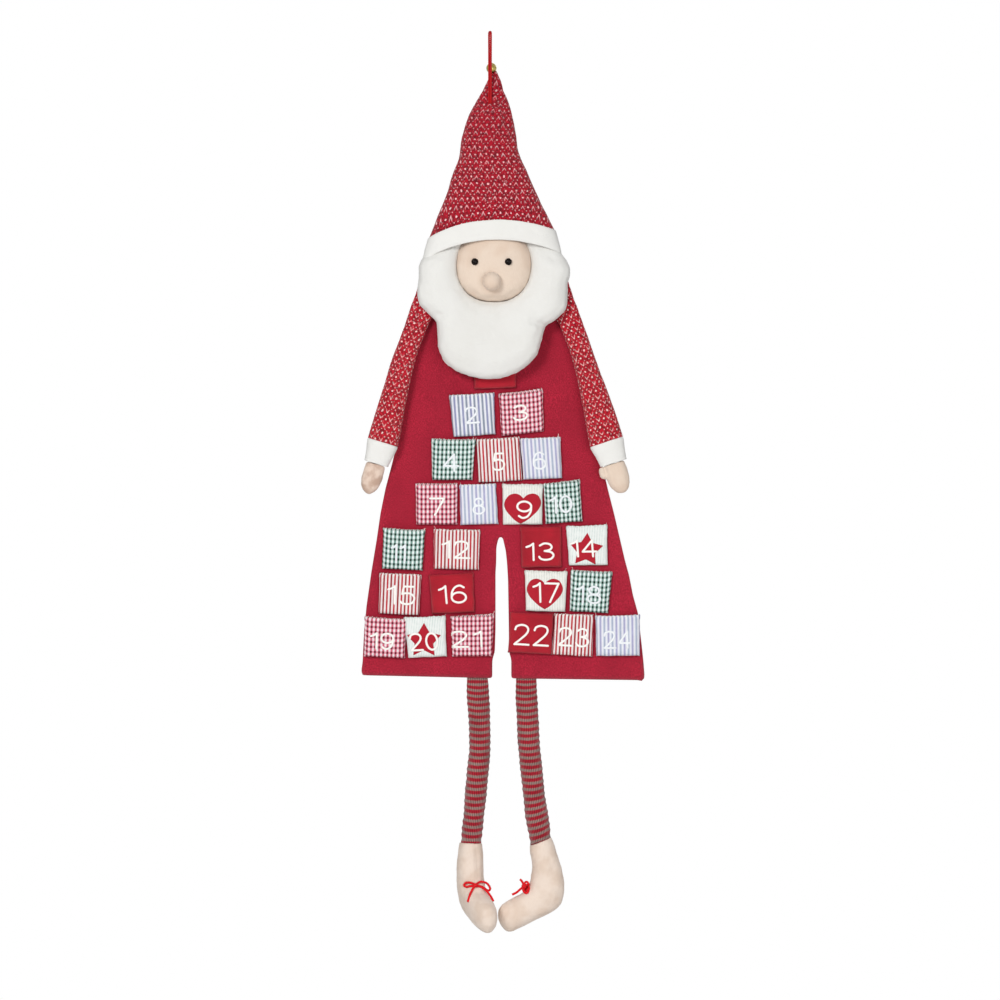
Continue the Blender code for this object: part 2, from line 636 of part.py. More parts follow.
def make_head():
    piece("head", head_mesh("head", 0), "skin_cloth")
    room = cutter("head_room", head_mesh("head_room", GAP))
    for name, sign in (("left_eye", -1), ("right_eye", 1)):
        across = FEATURE_SHIFT + sign * EYE_SPACING / 2
        out = face_surface(across, EYE_RISE) + EYE_DIAMETER * 0.15
        centre = at(HEAD_SHIFT + across, out, face_z + EYE_RISE)
        eye = piece(name, ball(name, centre, EYE_DIAMETER, 12, 8), "bead_black")
        boolean(eye, room, "DIFFERENCE")
    centre = at(
        HEAD_SHIFT + FEATURE_SHIFT, face_surface(FEATURE_SHIFT, -NOSE_DROP) + NOSE_DIAMETER * 0.12,
        face_z - NOSE_DROP,
    )
    nose = piece("nose", ball("nose", centre, NOSE_DIAMETER, 16, 10), "skin_cloth")
    boolean(nose, room, "DIFFERENCE")


def face_surface(across, up):
    """How far out the face's surface lies at a place given from its centre."""
    reach = math.hypot(across / (FACE_WIDTH / 2), up / (FACE_HEIGHT / 2))
    room = body_front_out + FACE_DEPTH - beard_back_out
    for (out_a, reach_a), (out_b, reach_b) in zip(face_shares, face_shares[1:]):
        if reach_b <= reach <= reach_a:
            share = (reach_a - reach) / max(reach_a - reach_b, MERGE)
            return beard_back_out + room * (out_a + (out_b - out_a) * share)
    return beard_back_out + room


def edge_of_face(degrees):
    """A point on the face's outline, a gap outside it."""
    angle = math.radians(degrees)
    c, s = math.cos(angle), math.sin(angle)
    wide, high = FACE_WIDTH / 2 + FACE_CLEAR, FACE_HEIGHT / 2 + FACE_CLEAR
    reach = (abs(c / wide) ** 2.25 + abs(s / high) ** 2.25) ** (-1 / 2.25)
    return HEAD_SHIFT + reach * c, face_z + reach * s


def beard_ring(inner, outer, padding):
    """A padded section from the face's edge to the beard's outer edge."""
    ring = []
    for i in range(BEARD_SIDES):
        angle = math.tau * i / BEARD_SIDES
        along, swell = (1 - math.cos(angle)) / 2, math.sin(angle)
        deep = BEARD_FRONT_PUFF * padding if swell > 0 else BEARD_BACK_PUFF
        out = beard_back_out + BEARD_BACK_PUFF + deep * math.copysign(abs(swell) ** 0.8, swell)
        across, up = (a + (b - a) * along for a, b in zip(inner, outer))
        ring.append(at(across, out, up))
    return ring


def make_beard():
    rings = []
    half, low = band_inner + BAND_FLARE, BRIM_ARCH + BAND_SAG
    for end in (beard_left_end_share, beard_right_end_share):
        degrees, across, up, padding = end
        edge = band_low_z - low * across**2 + BRIM_TILT * across + up * BAND_HEIGHT
        rings.append(beard_ring(edge_of_face(degrees), (hat_x + across * half, edge), padding))
    middle = [
        beard_ring(
            edge_of_face(degrees), (HEAD_SHIFT + x * beard_width / 2, face_z + z * BEARD_LENGTH), padding,
        )
        for degrees, x, z, padding in beard_shares
    ]
    piece("beard", skin("beard", [rings[0], *middle, rings[1]]), "beard_white")


def body_outline(inset):
    """The felt's outline, drawn in from its edges by the inset."""
    half, high = body_width / 2 - inset, body_height - 2 * inset
    top = body_top_z - inset
    points = [(BODY_SHIFT + x * half, top - z * high) for x, z in body_left_shares]
    slot_half, slot_high = SLOT_WIDTH / 2 + inset, SLOT_HEIGHT + inset
    for x, z in slot_shares:
        rise = max(z * slot_high - (inset if z > 0 else 0), 0)
        points.append((slot_x + x * slot_half, top - high + rise))
    points += [(BODY_SHIFT + x * half, top - z * high) for x, z in body_right_shares]
    return points


def make_body():
    piece("body_back", panel("body_back", body_outline(0), 0, FELT), "felt_red", smooth=False)
    wadding = panel("body_wadding", body_outline(WADDING_INSET), FELT + GAP, WADDING)
    piece("body_wadding", wadding, "wadding_white", smooth=False)
    front = panel("body_front", body_outline(0), FELT + WADDING + 2 * GAP, FELT)
    piece("body_front", front, "felt_red", smooth=False)


def pocket_place(day):
    """The middle of a pocket's back."""
    row, side, across, rise, width, tilt, cloth = pocket_shares[day]
    x = slot_x + side * SLOT_WIDTH / 2 + across * POCKET_WIDTH
    z = body_top_z - YOKE_HEIGHT - row * (POCKET_HEIGHT + ROW_GAP) - POCKET_HEIGHT / 2 + rise * POCKET_HEIGHT
    return x, z


def make_pocket(day):
    """A cloth pouch sewn to the felt at its sides and bottom and open at its top."""
    row, side, across, rise, width, tilt, cloth = pocket_shares[day]
    half = width * POCKET_WIDTH / 2 - POCKET_CLOTH
    high = POCKET_HEIGHT - 2 * POCKET_CLOTH
    bm = bmesh.new()
    grid = []
    for up, lift in pocket_up_shares:
        row_verts = []
        for aside, bulge in pocket_across_shares:
            out = (POCKET_BULGE - POCKET_CLOTH) * lift * bulge
            row_verts.append(bm.verts.new((aside * half, -out, (up - 0.5) * high)))
        grid.append(row_verts)
    for low, above in zip(grid, grid[1:]):
        for i in range(len(low) - 1):
            bm.faces.new((low[i], low[i + 1], above[i + 1], above[i]))
    name = f"pocket_{day:02d}"
    pocket = piece(name, mesh_from(name, bm), cloth)
    x, z = pocket_place(day)
    pocket.location = at(x, body_front_out + 2 * GAP, z)
    pocket.rotation_euler = (0, -math.radians(tilt), 0)
    solid = pocket.modifiers.new("cloth", "SOLIDIFY")
    solid.thickness = POCKET_CLOTH
    solid.offset = 1
    solid.use_even_offset = True


def arm_ring(side, along, offset, half_width, back, front):
    """A section square to the arm's line."""
    sign = side_sign[side]
    middle, half = (back + front) / 2, (front - back) / 2
    c, s = math.cos(ARM_ANGLE[side]), math.sin(ARM_ANGLE[side])
    down, outward = Vector((sign * s, -c)), Vector((sign * c, s))
    start = Vector(shoulder(side))
    ring = []
    for across, through in unit_ring(LIMB_SIDES, 2.2):
        spot = start + down * along + outward * (offset + half_width * across)
        ring.append(at(spot[0], middle + half * through, spot[1]))
    return ring


def shoulder(side):
    return HEAD_SHIFT + side_sign[side] * SHOULDER_WIDTH / 2, body_top_z - SHOULDER_DROP


def make_arm(side):
    joint = pivot(side + "_shoulder", at(shoulder(side)[0], body_front_out + GAP, shoulder(side)[1]))
    back, thin = body_front_out + GAP, beard_back_out - GAP
    scale = arm_width_shares[side]
    rings = []
    for angle in (8, 25, 45, 65):
        lift, half = math.cos(math.radians(angle)), math.sin(math.radians(angle))
        front = thin - (1 - half) * (thin - back) / 2
        rings.append(arm_ring(side, -lift * SHOULDER_RADIUS, 0, half * SHOULDER_RADIUS, back, front))
    for along, bow, wide, deep in sleeve_shares:
        front = thin + deep * SLEEVE_DEPTH / 2
        half = wide * SLEEVE_WIDTH / 2 * (1 + (scale - 1) * along)
        rings.append(arm_ring(side, along * SLEEVE_LENGTH, bow * ARM_BOW, half, back, front))
    hang(piece(side + "_sleeve", skin(side + "_sleeve", rings), "print_red"), joint)

    front = thin + SLEEVE_DEPTH / 2
    start, offset = SLEEVE_LENGTH + GAP, sleeve_shares[-1][1] * ARM_BOW
    rings = []
    for along, wide, deep in cuff_shares:
        half = wide * CUFF_WIDTH / 2 * scale
        reach = back + deep * (front - back)
        rings.append(arm_ring(side, start + along * CUFF_LENGTH, offset, half, back, reach))
    hang(piece(side + "_cuff", skin(side + "_cuff", rings), "white_cloth"), joint)

    start += CUFF_LENGTH + GAP
    middle = (back + front) / 2
    rings = []
    for along, wide, deep in hand_shares:
        half, thick = wide * HAND_WIDTH / 2 * scale, deep * HAND_DEPTH / 2
        place = start + along * HAND_LENGTH
        rings.append(arm_ring(side, place, offset, half, middle - thick, middle + thick))
    hand = piece(side + "_hand", skin(side + "_hand", rings), "skin_cloth")
    inward, backward = thumb_shares[side]
    rings = []
    for along, wide in thumb_form_shares:
        half, reach = wide * THUMB_WIDTH / 2, start + along * THUMB_LENGTH + GAP
        place = offset - inward * HAND_WIDTH / 2
        root = middle - backward * HAND_DEPTH / 2
        rings.append(arm_ring(side, reach, place, half, root - half, root + half))
    boolean(hand, cutter(side + "_thumb", skin(side + "_thumb", rings)), "UNION")
    hang(hand, joint)


def share_at(table, share):
    """Values between a table's rows, by its first column."""
    for a, b in zip(table, table[1:]):
        if a[0] <= share <= b[0]:
            t = (share - a[0]) / (b[0] - a[0])
            return [p + (q - p) * t for p, q in zip(a[1:], b[1:])]
    return list(table[0][1:]) if share < table[0][0] else list(table[-1][1:])


def make_leg(side):
    hip = pivot(side + "_hip", at(hip_x[side], hip_out, hip_z))
    rings = []
    seam = HIP_SEAM / 2
    half_width = LEG_DIAMETER / 2
    for angle in (10, 40, 90):
        turn = math.radians(angle)
        reach = seam * math.sin(turn)
        rings.append(level_ring(
            hip_x[side], half_width * 0.96, hip_out - reach, hip_out + reach,
            hip_z + seam * math.cos(turn), LIMB_SIDES, 2.3,
        ))
    for down, aside, wide in leg_shares[side]:
        back, front = share_at(leg_depth_shares, down)
        lean = max(0, down - leg_depth_shares[2][0]) / (1 - leg_depth_shares[2][0])
        back = back * LEG_DIAMETER + lean * (ANKLE_OUT - LEG_DIAMETER / 2)
        front = front * LEG_DIAMETER + lean * (ANKLE_OUT - LEG_DIAMETER / 2)
        rings.append(level_ring(
            hip_x[side] + aside * LEG_LENGTH, wide * half_width, back, front,
            hip_z - down * LEG_LENGTH, LIMB_SIDES, 2.1,
        ))
    hang(piece(side + "_leg", skin(side + "_leg", rings), "stripe_knit"), hip)
    make_foot(side, hip)


def foot_point(side, forward, aside, down):
    """A point on a foot, from its ankle, turned to where the foot points."""
    yaw = FOOT_YAW[side]
    x = forward * math.cos(yaw) - aside * math.sin(yaw) + down * FOOT_LEAN[side]
    y = forward * math.sin(yaw) + aside * math.cos(yaw)
    return at(ankle_x[side], ANKLE_OUT, ankle_z - GAP - down) + Vector((x, y, 0))


def foot_mesh(side, name, grown):
    rings = []
    for down, heel, toe, thick in foot_shares:
        middle, reach = (heel + toe) / 2 * FOOT_LENGTH, (toe - heel) / 2 * FOOT_LENGTH + grown
        half = thick * FOOT_THICKNESS / 2 + grown
        rings.append([
            foot_point(side, middle + reach * along, half * aside, down * FOOT_HEIGHT)
            for along, aside in unit_ring(LIMB_SIDES + 2, 2.2)
        ])
    return skin(name, rings)


def make_foot(side, hip):
    ankle = pivot(side + "_ankle", at(ankle_x[side], ANKLE_OUT, ankle_z - GAP), hip)
    hang(piece(side + "_foot", foot_mesh(side, side + "_foot", 0), "skin_cloth"), ankle)
    make_bow(side, ankle)


def make_bow(side, ankle):
    """A cord bow lying on the foot: a knot with two loops and two tails."""
    room = cutter(side + "_foot_room", foot_mesh(side, side + "_foot_room", GAP))
    surface = BVHTree.FromPolygons(
        [vertex.co for vertex in room.data.vertices], [face.vertices for face in room.data.polygons]
    )
    across, down = bow_knot_share[side]
    heart = at(ankle_x[side] + across * FOOT_LENGTH, 0, ankle_z - down * FOOT_HEIGHT)

    def laid(points, lift):
        """The points lying on the foot as seen from the front."""
        line = []
        for x, z in points:
            spot = heart + Vector((x * BOW_WIDTH, 0, z * BOW_WIDTH))
            place = surface.find_nearest(Vector((spot.x, WALL_TO_CORD - ANKLE_OUT - FOOT_LENGTH, spot.z)))
            hit = surface.ray_cast(Vector((spot.x, place[0].y - FOOT_LENGTH, spot.z)), Vector((0, 1, 0)))
            found = hit if hit[0] else surface.find_nearest(line[-1] if line else place[0])
            spot.y = found[0].y - lift
            line.append(spot)
        return line

    name = side + "_bow"
    knot_at = laid([(0.0, 0.0)], BOW_KNOT * 0.3)[0]
    knot = piece(name, ball(name, knot_at, BOW_KNOT, 10, 8), "cord_red")
    strands = bow_loop_shares[side] + bow_tail_shares[side]
    for number, points in enumerate(strands):
        label = f"{name}_strand_{number + 1}"
        line = smooth_line(laid(points, BOW_CORD * 0.75), 2 * BOW_CORD)
        curve = poly_curve(label, line, BOW_CORD, 1)
        boolean(knot, cutter(label, curve_mesh(label, curve, Matrix())), "UNION")
    boolean(knot, room, "DIFFERENCE")
    hang(knot, ankle)


def main():
    for old in list(bpy.data.objects):
        bpy.data.objects.remove(old)
    bpy.context.scene.collection.children.link(parts)
    bpy.context.scene.collection.children.link(cutters)
    make_cord()
    make_bell()
    make_hat()
    make_band()
    make_head()
    make_beard()
    make_body()
    for day in pocket_shares:
        make_pocket(day)
    for side in side_sign:
        make_arm(side)
        make_leg(side)


main()
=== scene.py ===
"""Looks of a hanging cloth advent calendar, dressed on its CAD frame.

Metres, +Z up, in the frame's own place: the doll faces -Y and the origin is the top of its cord loop.
Left and right are as the viewer sees them. A distance called out is measured forward from the wall.
"""

import json
import math
import random

import bmesh
import bpy
import numpy as np
from mathutils import Matrix, Vector, geometry, noise
from mathutils.bvhtree import BVHTree

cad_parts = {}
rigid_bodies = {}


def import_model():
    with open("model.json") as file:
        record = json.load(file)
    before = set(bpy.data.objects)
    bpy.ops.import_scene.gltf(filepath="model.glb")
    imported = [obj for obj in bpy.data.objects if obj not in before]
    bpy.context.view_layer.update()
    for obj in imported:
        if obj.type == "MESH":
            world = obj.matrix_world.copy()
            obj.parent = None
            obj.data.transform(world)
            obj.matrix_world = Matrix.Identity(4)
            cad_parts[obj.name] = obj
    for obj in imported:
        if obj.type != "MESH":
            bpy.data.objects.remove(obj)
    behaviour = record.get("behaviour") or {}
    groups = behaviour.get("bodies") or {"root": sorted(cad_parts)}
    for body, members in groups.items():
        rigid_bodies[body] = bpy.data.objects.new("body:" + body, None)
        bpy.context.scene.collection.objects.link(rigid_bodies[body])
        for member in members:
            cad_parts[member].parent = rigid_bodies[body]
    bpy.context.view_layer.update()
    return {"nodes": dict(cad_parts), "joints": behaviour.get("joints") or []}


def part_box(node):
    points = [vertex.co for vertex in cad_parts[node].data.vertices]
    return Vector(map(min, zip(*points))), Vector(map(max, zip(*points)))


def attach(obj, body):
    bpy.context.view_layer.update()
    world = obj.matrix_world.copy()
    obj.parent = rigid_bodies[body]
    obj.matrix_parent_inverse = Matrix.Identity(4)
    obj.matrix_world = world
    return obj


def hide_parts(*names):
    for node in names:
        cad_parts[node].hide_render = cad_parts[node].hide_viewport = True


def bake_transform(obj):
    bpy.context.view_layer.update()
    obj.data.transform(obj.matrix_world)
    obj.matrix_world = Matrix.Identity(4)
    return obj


for old in list(bpy.data.objects):
    bpy.data.objects.remove(old)
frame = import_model()
nodes = frame["nodes"]

# The wall behind the cord, and the photograph's frame
WALL = 0.020
PIXEL = 0.0014
ZERO_COLUMN = 490
ZERO_ROW = 31
IMAGE_SIDE = 1000
LENS = 300
SENSOR = 36
VIEW_OUT = 0.015
SKY = 0.34
FLOOR_Z = -1.9
FLOOR_RADIUS = 3.0

# Felts
FELT = 0.0015
FELT_STEP = 0.0032
FELT_GRID = 0.0075
FELT_INSETS = (0.0012, 0.0028, 0.0050, 0.0080)
FRONT_EDGE_OUT = 0.0052
BACK_EDGE_OUT = 0.0026
EDGE_ROUND = 0.009
HEM_SLOPE = 0.0135
HEM_RISE = 0.0018
HEM_FOLD = 0.0014
HEM_FLARE = 0.0022
HEM_LINE = 0.0262
DENT = 0.0018
UNDER_SLEEVE = 0.0045
CORNER_REACH = 0.0095
SLOT_X = 0.0165
SLOT_OPENING = 0.0030
SLOT_TOP_SHIFT = 0.0014
SLOT_TOP_RISE = 0.0021

# Hat, band, head and beard
BRIM_ARCH = 0.0172
BRIM_TILT = 0.0035
BAND_SAG = 0.0045
BAND_CLOTH = 0.002
BAND_OUT = 0.0002
CORNER_DROP = 0.0042
BRIM_FLARE = 0.0026
TIP_LIFT = 0.0045
BEARD_GROWTH = 0.0036
BEARD_DROP = 0.0020
CHIN_RISE = 0.0028
FACE_MIDDLE = (493.8, 270)
HAT_PEAK = (496.6, 72)
NOSE_SHARE = 0.96

# Pockets
WEAVE = 0.0007
POCKET_SEAT = 0.0073
POCKET_PUFF = 0.0098
POCKET_HEM = 0.0065
POCKET_CLOTH = 0.0005
STRIPE = 0.0056
NUMERAL_STROKE = 0.0029
NUMERAL_RISE = 0.00055
APPLIQUE_RISE = 0.0006
SEAM_TUCK = 0.0013
SEAM_SHARE = 0.965
DIGIT_GAP = 0.22
STITCH_PITCH = 0.0027

# Limbs
ARM_ANGLE = {"left": math.radians(17.0), "right": math.radians(17.7)}
FOOT_YAW = {"left": math.radians(-66), "right": math.radians(180)}
SLEEVE_SWELL = 0.0007
SHOULDER_SWELL = 0.0035
SHOULDER_REACH = 0.0260
ARM_BULGE = {"left": 0.0022, "right": 0.0}
HAND_SEAM_OUT = 0.0205
BLEND_REACH = 0.030
LEG_SWELL = 0.0006
LEG_TUCK = 0.0032
ANKLE_SLOPE = {"left": -0.03, "right": 0.36}
ANKLE_DROP = {"left": 0.0018, "right": 0.0}
ANKLE_TAPER = {"left": 0.0, "right": 0.0026}
FOOT_RISE = 0.0030
STRIPE_PITCH = 0.00903
STRIPE_BOW = 0.0024
RIB_PITCH = 0.0026

# Bell, cords, and the stuffing's pressure
BELL_WALL = 0.0005
BELL_SLOT = 0.0011
BELL_HOLE = 0.0012
CORD_DIAMETER = 0.0028
BOW_CORD = 0.0034
BOW_WIDTH = 0.038
RAY_START = -0.2
PRESSURE = 4.0
SIM_FRAMES = 20

# The cord's way up from the hat to the top of its loop, and down again beside itself
cord_rise = [
    (-0.0013, 0.0008, -0.0900), (-0.0013, 0.0008, -0.0740), (-0.0013, 0.0008, -0.0460),
    (-0.0013, 0.0010, -0.0340), (-0.00133, 0.0020, -0.0250), (-0.00136, 0.0037, -0.0175),
    (-0.0014, 0.0054, -0.0115), (-0.0014, 0.0060, -0.0073), (-0.0013, 0.0043, -0.0031),
    (-0.0008, 0.0020, -0.0016),
]
cord_route = [
    (-0.0013, -0.0036, -0.1020), (-0.0013, -0.0012, -0.0970), *cord_rise, (0.0, 0.0, -0.0014),
    *[(-x, -y, z) for x, y, z in reversed(cord_rise)],
    (0.0013, -0.0016, -0.0970), (0.0013, -0.0036, -0.1020),
]

# How much of the brim's arch the hat follows, by share of its height
brim_follow_shares = [(0.0, 0.0), (0.861, 0.0), (0.929, 0.35), (1.0, 1.0)]

# The band's section: down from the brim and how far out, in shares
band_profile = [
    (0.0, -0.6), (-0.006, 0.1), (0.0, 0.75), (0.04, 1.0), (0.12, 1.12), (0.3, 1.2), (0.5, 1.22),
    (0.7, 1.2), (0.86, 1.12), (0.95, 0.95), (1.0, 0.5), (1.005, 0.0), (0.99, -0.5), (0.95, -0.75),
    (0.8, -0.7), (0.5, -0.6), (0.2, -0.6),
]

# The nose's outline as reach and how far out, and a cuff's as share of its length and reach
nose_profile = [
    (0.80, 0.0), (0.93, 0.10), (1.0, 0.26), (1.0, 0.42), (0.95, 0.60), (0.84, 0.76), (0.66, 0.89),
    (0.45, 0.965), (0.22, 0.995), (0.05, 1.0),
]
cuff_profile = [
    (0.10, 0.62), (0.0, 0.80), (-0.02, 0.97), (0.02, 1.02), (0.12, 1.03), (0.3, 1.02), (0.5, 1.0),
    (0.7, 0.99), (0.86, 0.99), (0.90, 0.965), (0.93, 1.0), (0.98, 1.0), (1.005, 0.96), (1.0, 0.88),
    (0.94, 0.82), (0.8, 0.78),
]

# A numeral's stroke round its section: how far across and how high
stroke_profile = [
    (-1, 0.25), (-0.75, 0.8), (-0.35, 1.0), (0, 1.05), (0.35, 1.0), (0.75, 0.8), (1, 0.25), (0.6, -0.2),
    (-0.6, -0.2),
]

# Each bow's knot in the photograph, and its loops and tails from there as shares of the bow's width
bow_knot = {"left": (475.5, 884), "right": (523.5, 885.5)}
bow_strands = {
    "left": [
        [(-0.03, 0.035), (-0.18, 0.09), (-0.34, 0.08), (-0.42, 0.0), (-0.34, -0.06), (-0.18, -0.03),
         (-0.03, -0.035)],
        [(0.03, 0.035), (0.20, 0.12), (0.42, 0.06), (0.54, -0.12), (0.46, -0.20), (0.24, -0.06),
         (0.03, -0.035)],
        [(0.0, 0.0), (-0.10, -0.14), (-0.20, -0.34), (-0.28, -0.60)],
        [(0.0, 0.0), (0.22, -0.06), (0.42, -0.22), (0.56, -0.40), (0.66, -0.58)],
    ],
    "right": [
        [(0.02, 0.03), (0.05, 0.13), (0.12, 0.17), (0.18, 0.09), (0.16, -0.01), (0.09, -0.02),
         (0.03, -0.03)],
        [(0.0, -0.04), (-0.01, -0.14), (0.06, -0.23), (0.14, -0.22), (0.16, -0.13), (0.10, -0.07),
         (0.03, -0.05)],
        [(0.02, 0.0), (0.10, 0.06), (0.18, 0.02), (0.20, -0.08), (0.14, -0.16), (0.07, -0.13),
         (0.02, -0.05)],
        [(0.0, 0.0), (-0.12, -0.10), (-0.26, -0.22), (-0.42, -0.30)],
        [(0.0, 0.0), (-0.02, 0.11), (-0.07, 0.20), (-0.12, 0.25)],
    ],
}

# Each day's cloth, and its numeral's box in the photograph: left, top, right and bottom
days = {
    # Pocket 2 takes a darker copy of the blue stripe cloth, whose deeper colours are painted shade
    2: ("deep_blue_stripe", (465, 406, 479, 423)), 3: ("red_gingham", (513, 404, 528, 420)),
    4: ("green_gingham", (443, 453, 459, 471)), 5: ("red_stripe", (492, 452, 505, 470)),
    6: ("blue_stripe", (532.5, 451, 546, 469)), 7: ("red_gingham", (429.5, 497, 445, 515)),
    8: ("blue_stripe", (472.5, 497, 485, 514)), 9: ("cream_heart", (516.5, 500, 532, 518)),
    10: ("green_gingham", (550, 495, 572, 512.5)), 11: ("green_gingham", (391, 543.5, 406, 560.5)),
    12: ("red_stripe", (442, 540, 470, 558)), 13: ("plain_red", (526, 542, 554, 560)),
    14: ("cream_star", (571, 539, 597, 556.5)), 15: ("red_stripe", (387.5, 585, 415, 604)),
    16: ("plain_red", (438.7, 584.5, 466.3, 603)), 17: ("cream_heart", (533, 582, 559.5, 602)),
    18: ("green_gingham", (576.5, 585, 601, 603)), 19: ("red_gingham", (370.5, 632, 394, 649)),
    20: ("cream_star", (410, 632, 438, 650)), 21: ("red_gingham", (451, 630, 482, 647)),
    22: ("plain_red", (514.5, 624, 549, 645)), 23: ("red_stripe", (558.5, 627, 589, 646)),
    24: ("blue_stripe", (604, 630, 631, 648)), 1: ("plain_red", None),
}

# Hearts as boxes and a lean, and stars as centre, radius and turn in degrees, all in the photograph
hearts = {9: (506.0, 493.2, 541.5, 522.8, -0.09), 17: (527.6, 578.5, 562.4, 608.2, -0.01)}
stars = {14: (586.3, 549.3, 16.9, -3.6), 20: (424.0, 639.9, 17.5, 0.0)}
heart_half = [
    (0.5, 0.84), (0.60, 0.95), (0.75, 1.0), (0.91, 0.92), (1.0, 0.68), (0.94, 0.46), (0.81, 0.28),
    (0.66, 0.12), (0.5, 0.0),
]

# How far each pocket's corners lie from their CAD place, right and down in pixels, clockwise from top left
corner_nudges = {
    2: (-1.7, -0.4, 1.3, -0.9, 1.0, 0.4, 0.0, 1.0), 3: (-0.7, -0.7, 3.2, -1.3, 0.7, 0.7, -3.0, 1.5),
    4: (0.0, 0.0, 2.4, 0.9, -0.7, 0.9, 0.0, 0.5), 5: (-0.4, -1.0, 0.9, -1.3, 2.4, 1.7, -1.5, 1.7),
    6: (-1.7, 0.0, 0.4, -0.4, 1.5, 0.4, 0.2, 0.6), 7: (0.0, 0.0, 1.3, 0.0, 1.3, 0.5, 0.0, 0.5),
    8: (0.4, 0.2, 0.6, 0.6, 2.1, 0.6, -0.8, 0.2), 10: (-0.9, 1.0, 0.7, -0.9, 1.5, 0.4, -2.3, 1.0),
    12: (-1.0, 1.2, 0.9, 1.2, 0.9, 0.7, -1.0, 0.6), 14: (-1.3, 1.2, 1.5, -0.7, 2.8, -0.7, 1.4, 0.0),
    16: (-1.0, 2.0, 0.5, 1.6, 0.3, 0.4, -0.5, 0.2), 17: (-1.0, 0.0, 0.4, 0.6, 0.0, 0.4, 0.6, 0.4),
    18: (0.2, 0.0, 2.9, 1.0, 0.2, 2.0, -0.6, 0.6), 19: (-1.3, 0.8, 1.3, 2.0, 2.0, 0.3, -1.0, 0.2),
    20: (-2.0, -0.4, -0.5, -0.5, 0.4, -0.6, 0.6, 0.0), 21: (0.8, 1.5, 1.9, 0.0, -0.5, 2.0, 0.4, 1.0),
    22: (-0.9, 0.0, 0.8, 0.0, 1.0, 0.0, -2.6, -0.8), 23: (0.4, 0.4, 2.0, 0.4, 3.0, 1.7, -1.9, 0.6),
    24: (-0.9, 0.6, 2.6, 0.2, 2.6, 0.6, -1.2, 0.4), 1: (0.0, 0.0, 0.0, 0.0, 0.0, 1.6, 0.0, 1.6),
}

# The corners of the body's hem in the photograph
hem_corners = [(361.4, 675.4), (645.2, 682.4)]

# Numerals as widths and strokes in a box one high. A ring is its centre and half sizes
digits = {
    "0": (0.58, [("ring", 0.29, 0.5, 0.29, 0.5)]),
    "1": (0.27, [[(0.0, 0.80), (0.14, 0.87), (0.27, 1.0)], [(0.27, 1.0), (0.27, 0.0)]]),
    "2": (0.60, [
        [(0.0, 0.76), (0.06, 0.92), (0.27, 1.0), (0.48, 0.93), (0.55, 0.74), (0.46, 0.52), (0.24, 0.26),
         (0.0, 0.0)],
        [(0.0, 0.0), (0.60, 0.0)],
    ]),
    "3": (0.56, [
        [(0.04, 0.88), (0.22, 1.0), (0.43, 0.94), (0.50, 0.76), (0.41, 0.60), (0.22, 0.54)],
        [(0.22, 0.54), (0.46, 0.47), (0.56, 0.28), (0.47, 0.07), (0.26, 0.0), (0.07, 0.06), (0.0, 0.19)],
    ]),
    "4": (0.62, [[(0.45, 0.0), (0.45, 1.0)], [(0.45, 1.0), (0.0, 0.30)], [(0.0, 0.30), (0.62, 0.30)]]),
    "5": (0.56, [
        [(0.53, 1.0), (0.13, 1.0)],
        [(0.13, 1.0), (0.07, 0.57)],
        [(0.07, 0.57), (0.27, 0.63), (0.47, 0.55), (0.56, 0.33), (0.47, 0.08), (0.26, 0.0), (0.07, 0.05),
         (0.0, 0.15)],
    ]),
    "6": (0.58, [
        [(0.52, 0.88), (0.36, 1.0), (0.16, 0.90), (0.03, 0.62), (0.0, 0.31)],
        ("ring", 0.29, 0.30, 0.29, 0.30),
    ]),
    "7": (0.56, [[(0.0, 1.0), (0.56, 1.0)], [(0.56, 1.0), (0.18, 0.0)]]),
    "8": (0.56, [("ring", 0.28, 0.76, 0.22, 0.24), ("ring", 0.28, 0.27, 0.28, 0.27)]),
    "9": (0.58, [
        [(0.06, 0.12), (0.22, 0.0), (0.42, 0.10), (0.55, 0.38), (0.58, 0.69)],
        ("ring", 0.29, 0.70, 0.29, 0.30),
    ]),
}

# Creases: from and to in the photograph's pixels, depth in mm and half width in pixels
beard_creases = [
    ((551, 328), (525, 320), 3.2, 3.0), ((431, 314), (450, 317), 1.8, 3.2),
    ((432, 318), (438, 336), 1.2, 3.4), ((540, 330), (528, 346), 0.8, 4.0),
    ((452, 322), (470, 328), 0.6, 5.0), ((424, 296), (438, 300), 0.7, 4.0),
    ((556, 262), (546, 254), 1.0, 3.0),
]
hat_creases = [
    ((456, 160), (470, 152), 1.2, 3.0), ((501, 102), (513, 136), 3.4, 4.2),
    ((509, 112), (500, 138), 2.2, 3.4), ((514, 126), (508, 146), 1.6, 3.0),
    ((478, 96), (470, 112), 0.7, 3.0), ((516, 150), (500, 160), 0.8, 4.0),
    ((470, 172), (462, 190), 0.5, 4.0),
]
face_creases = [
    ((466, 288), (482, 299), 1.6, 3.2), ((478, 299), (507, 300), 2.2, 3.4),
    ((503, 300), (521, 289), 1.6, 3.2),
]
hand_creases = {
    "left": [((374, 476), (378, 468), 0.6, 1.8)],
    "right": [((602.5, 463), (607, 476.5), 2.2, 1.7), ((612, 466), (618, 470), 0.5, 2.0)],
}
foot_creases = {
    "left": [((477, 842), (478, 884), 1.0, 1.6), ((462, 880), (470, 888), 0.6, 2.5)],
    "right": [((532, 880), (524, 890), 0.9, 2.2), ((556, 862), (548, 876), 0.5, 3.0)],
}


def at(x, out, z):
    """A point x along the wall, out in front of it and z up."""
    return Vector((x, WALL - out, z))


def up_at(row):
    """How high a row of the photograph lies."""
    return (ZERO_ROW - row) * PIXEL


def spot(column, row):
    """Where a pixel of the photograph lies along the wall and up it."""
    return (column - ZERO_COLUMN) * PIXEL, up_at(row)


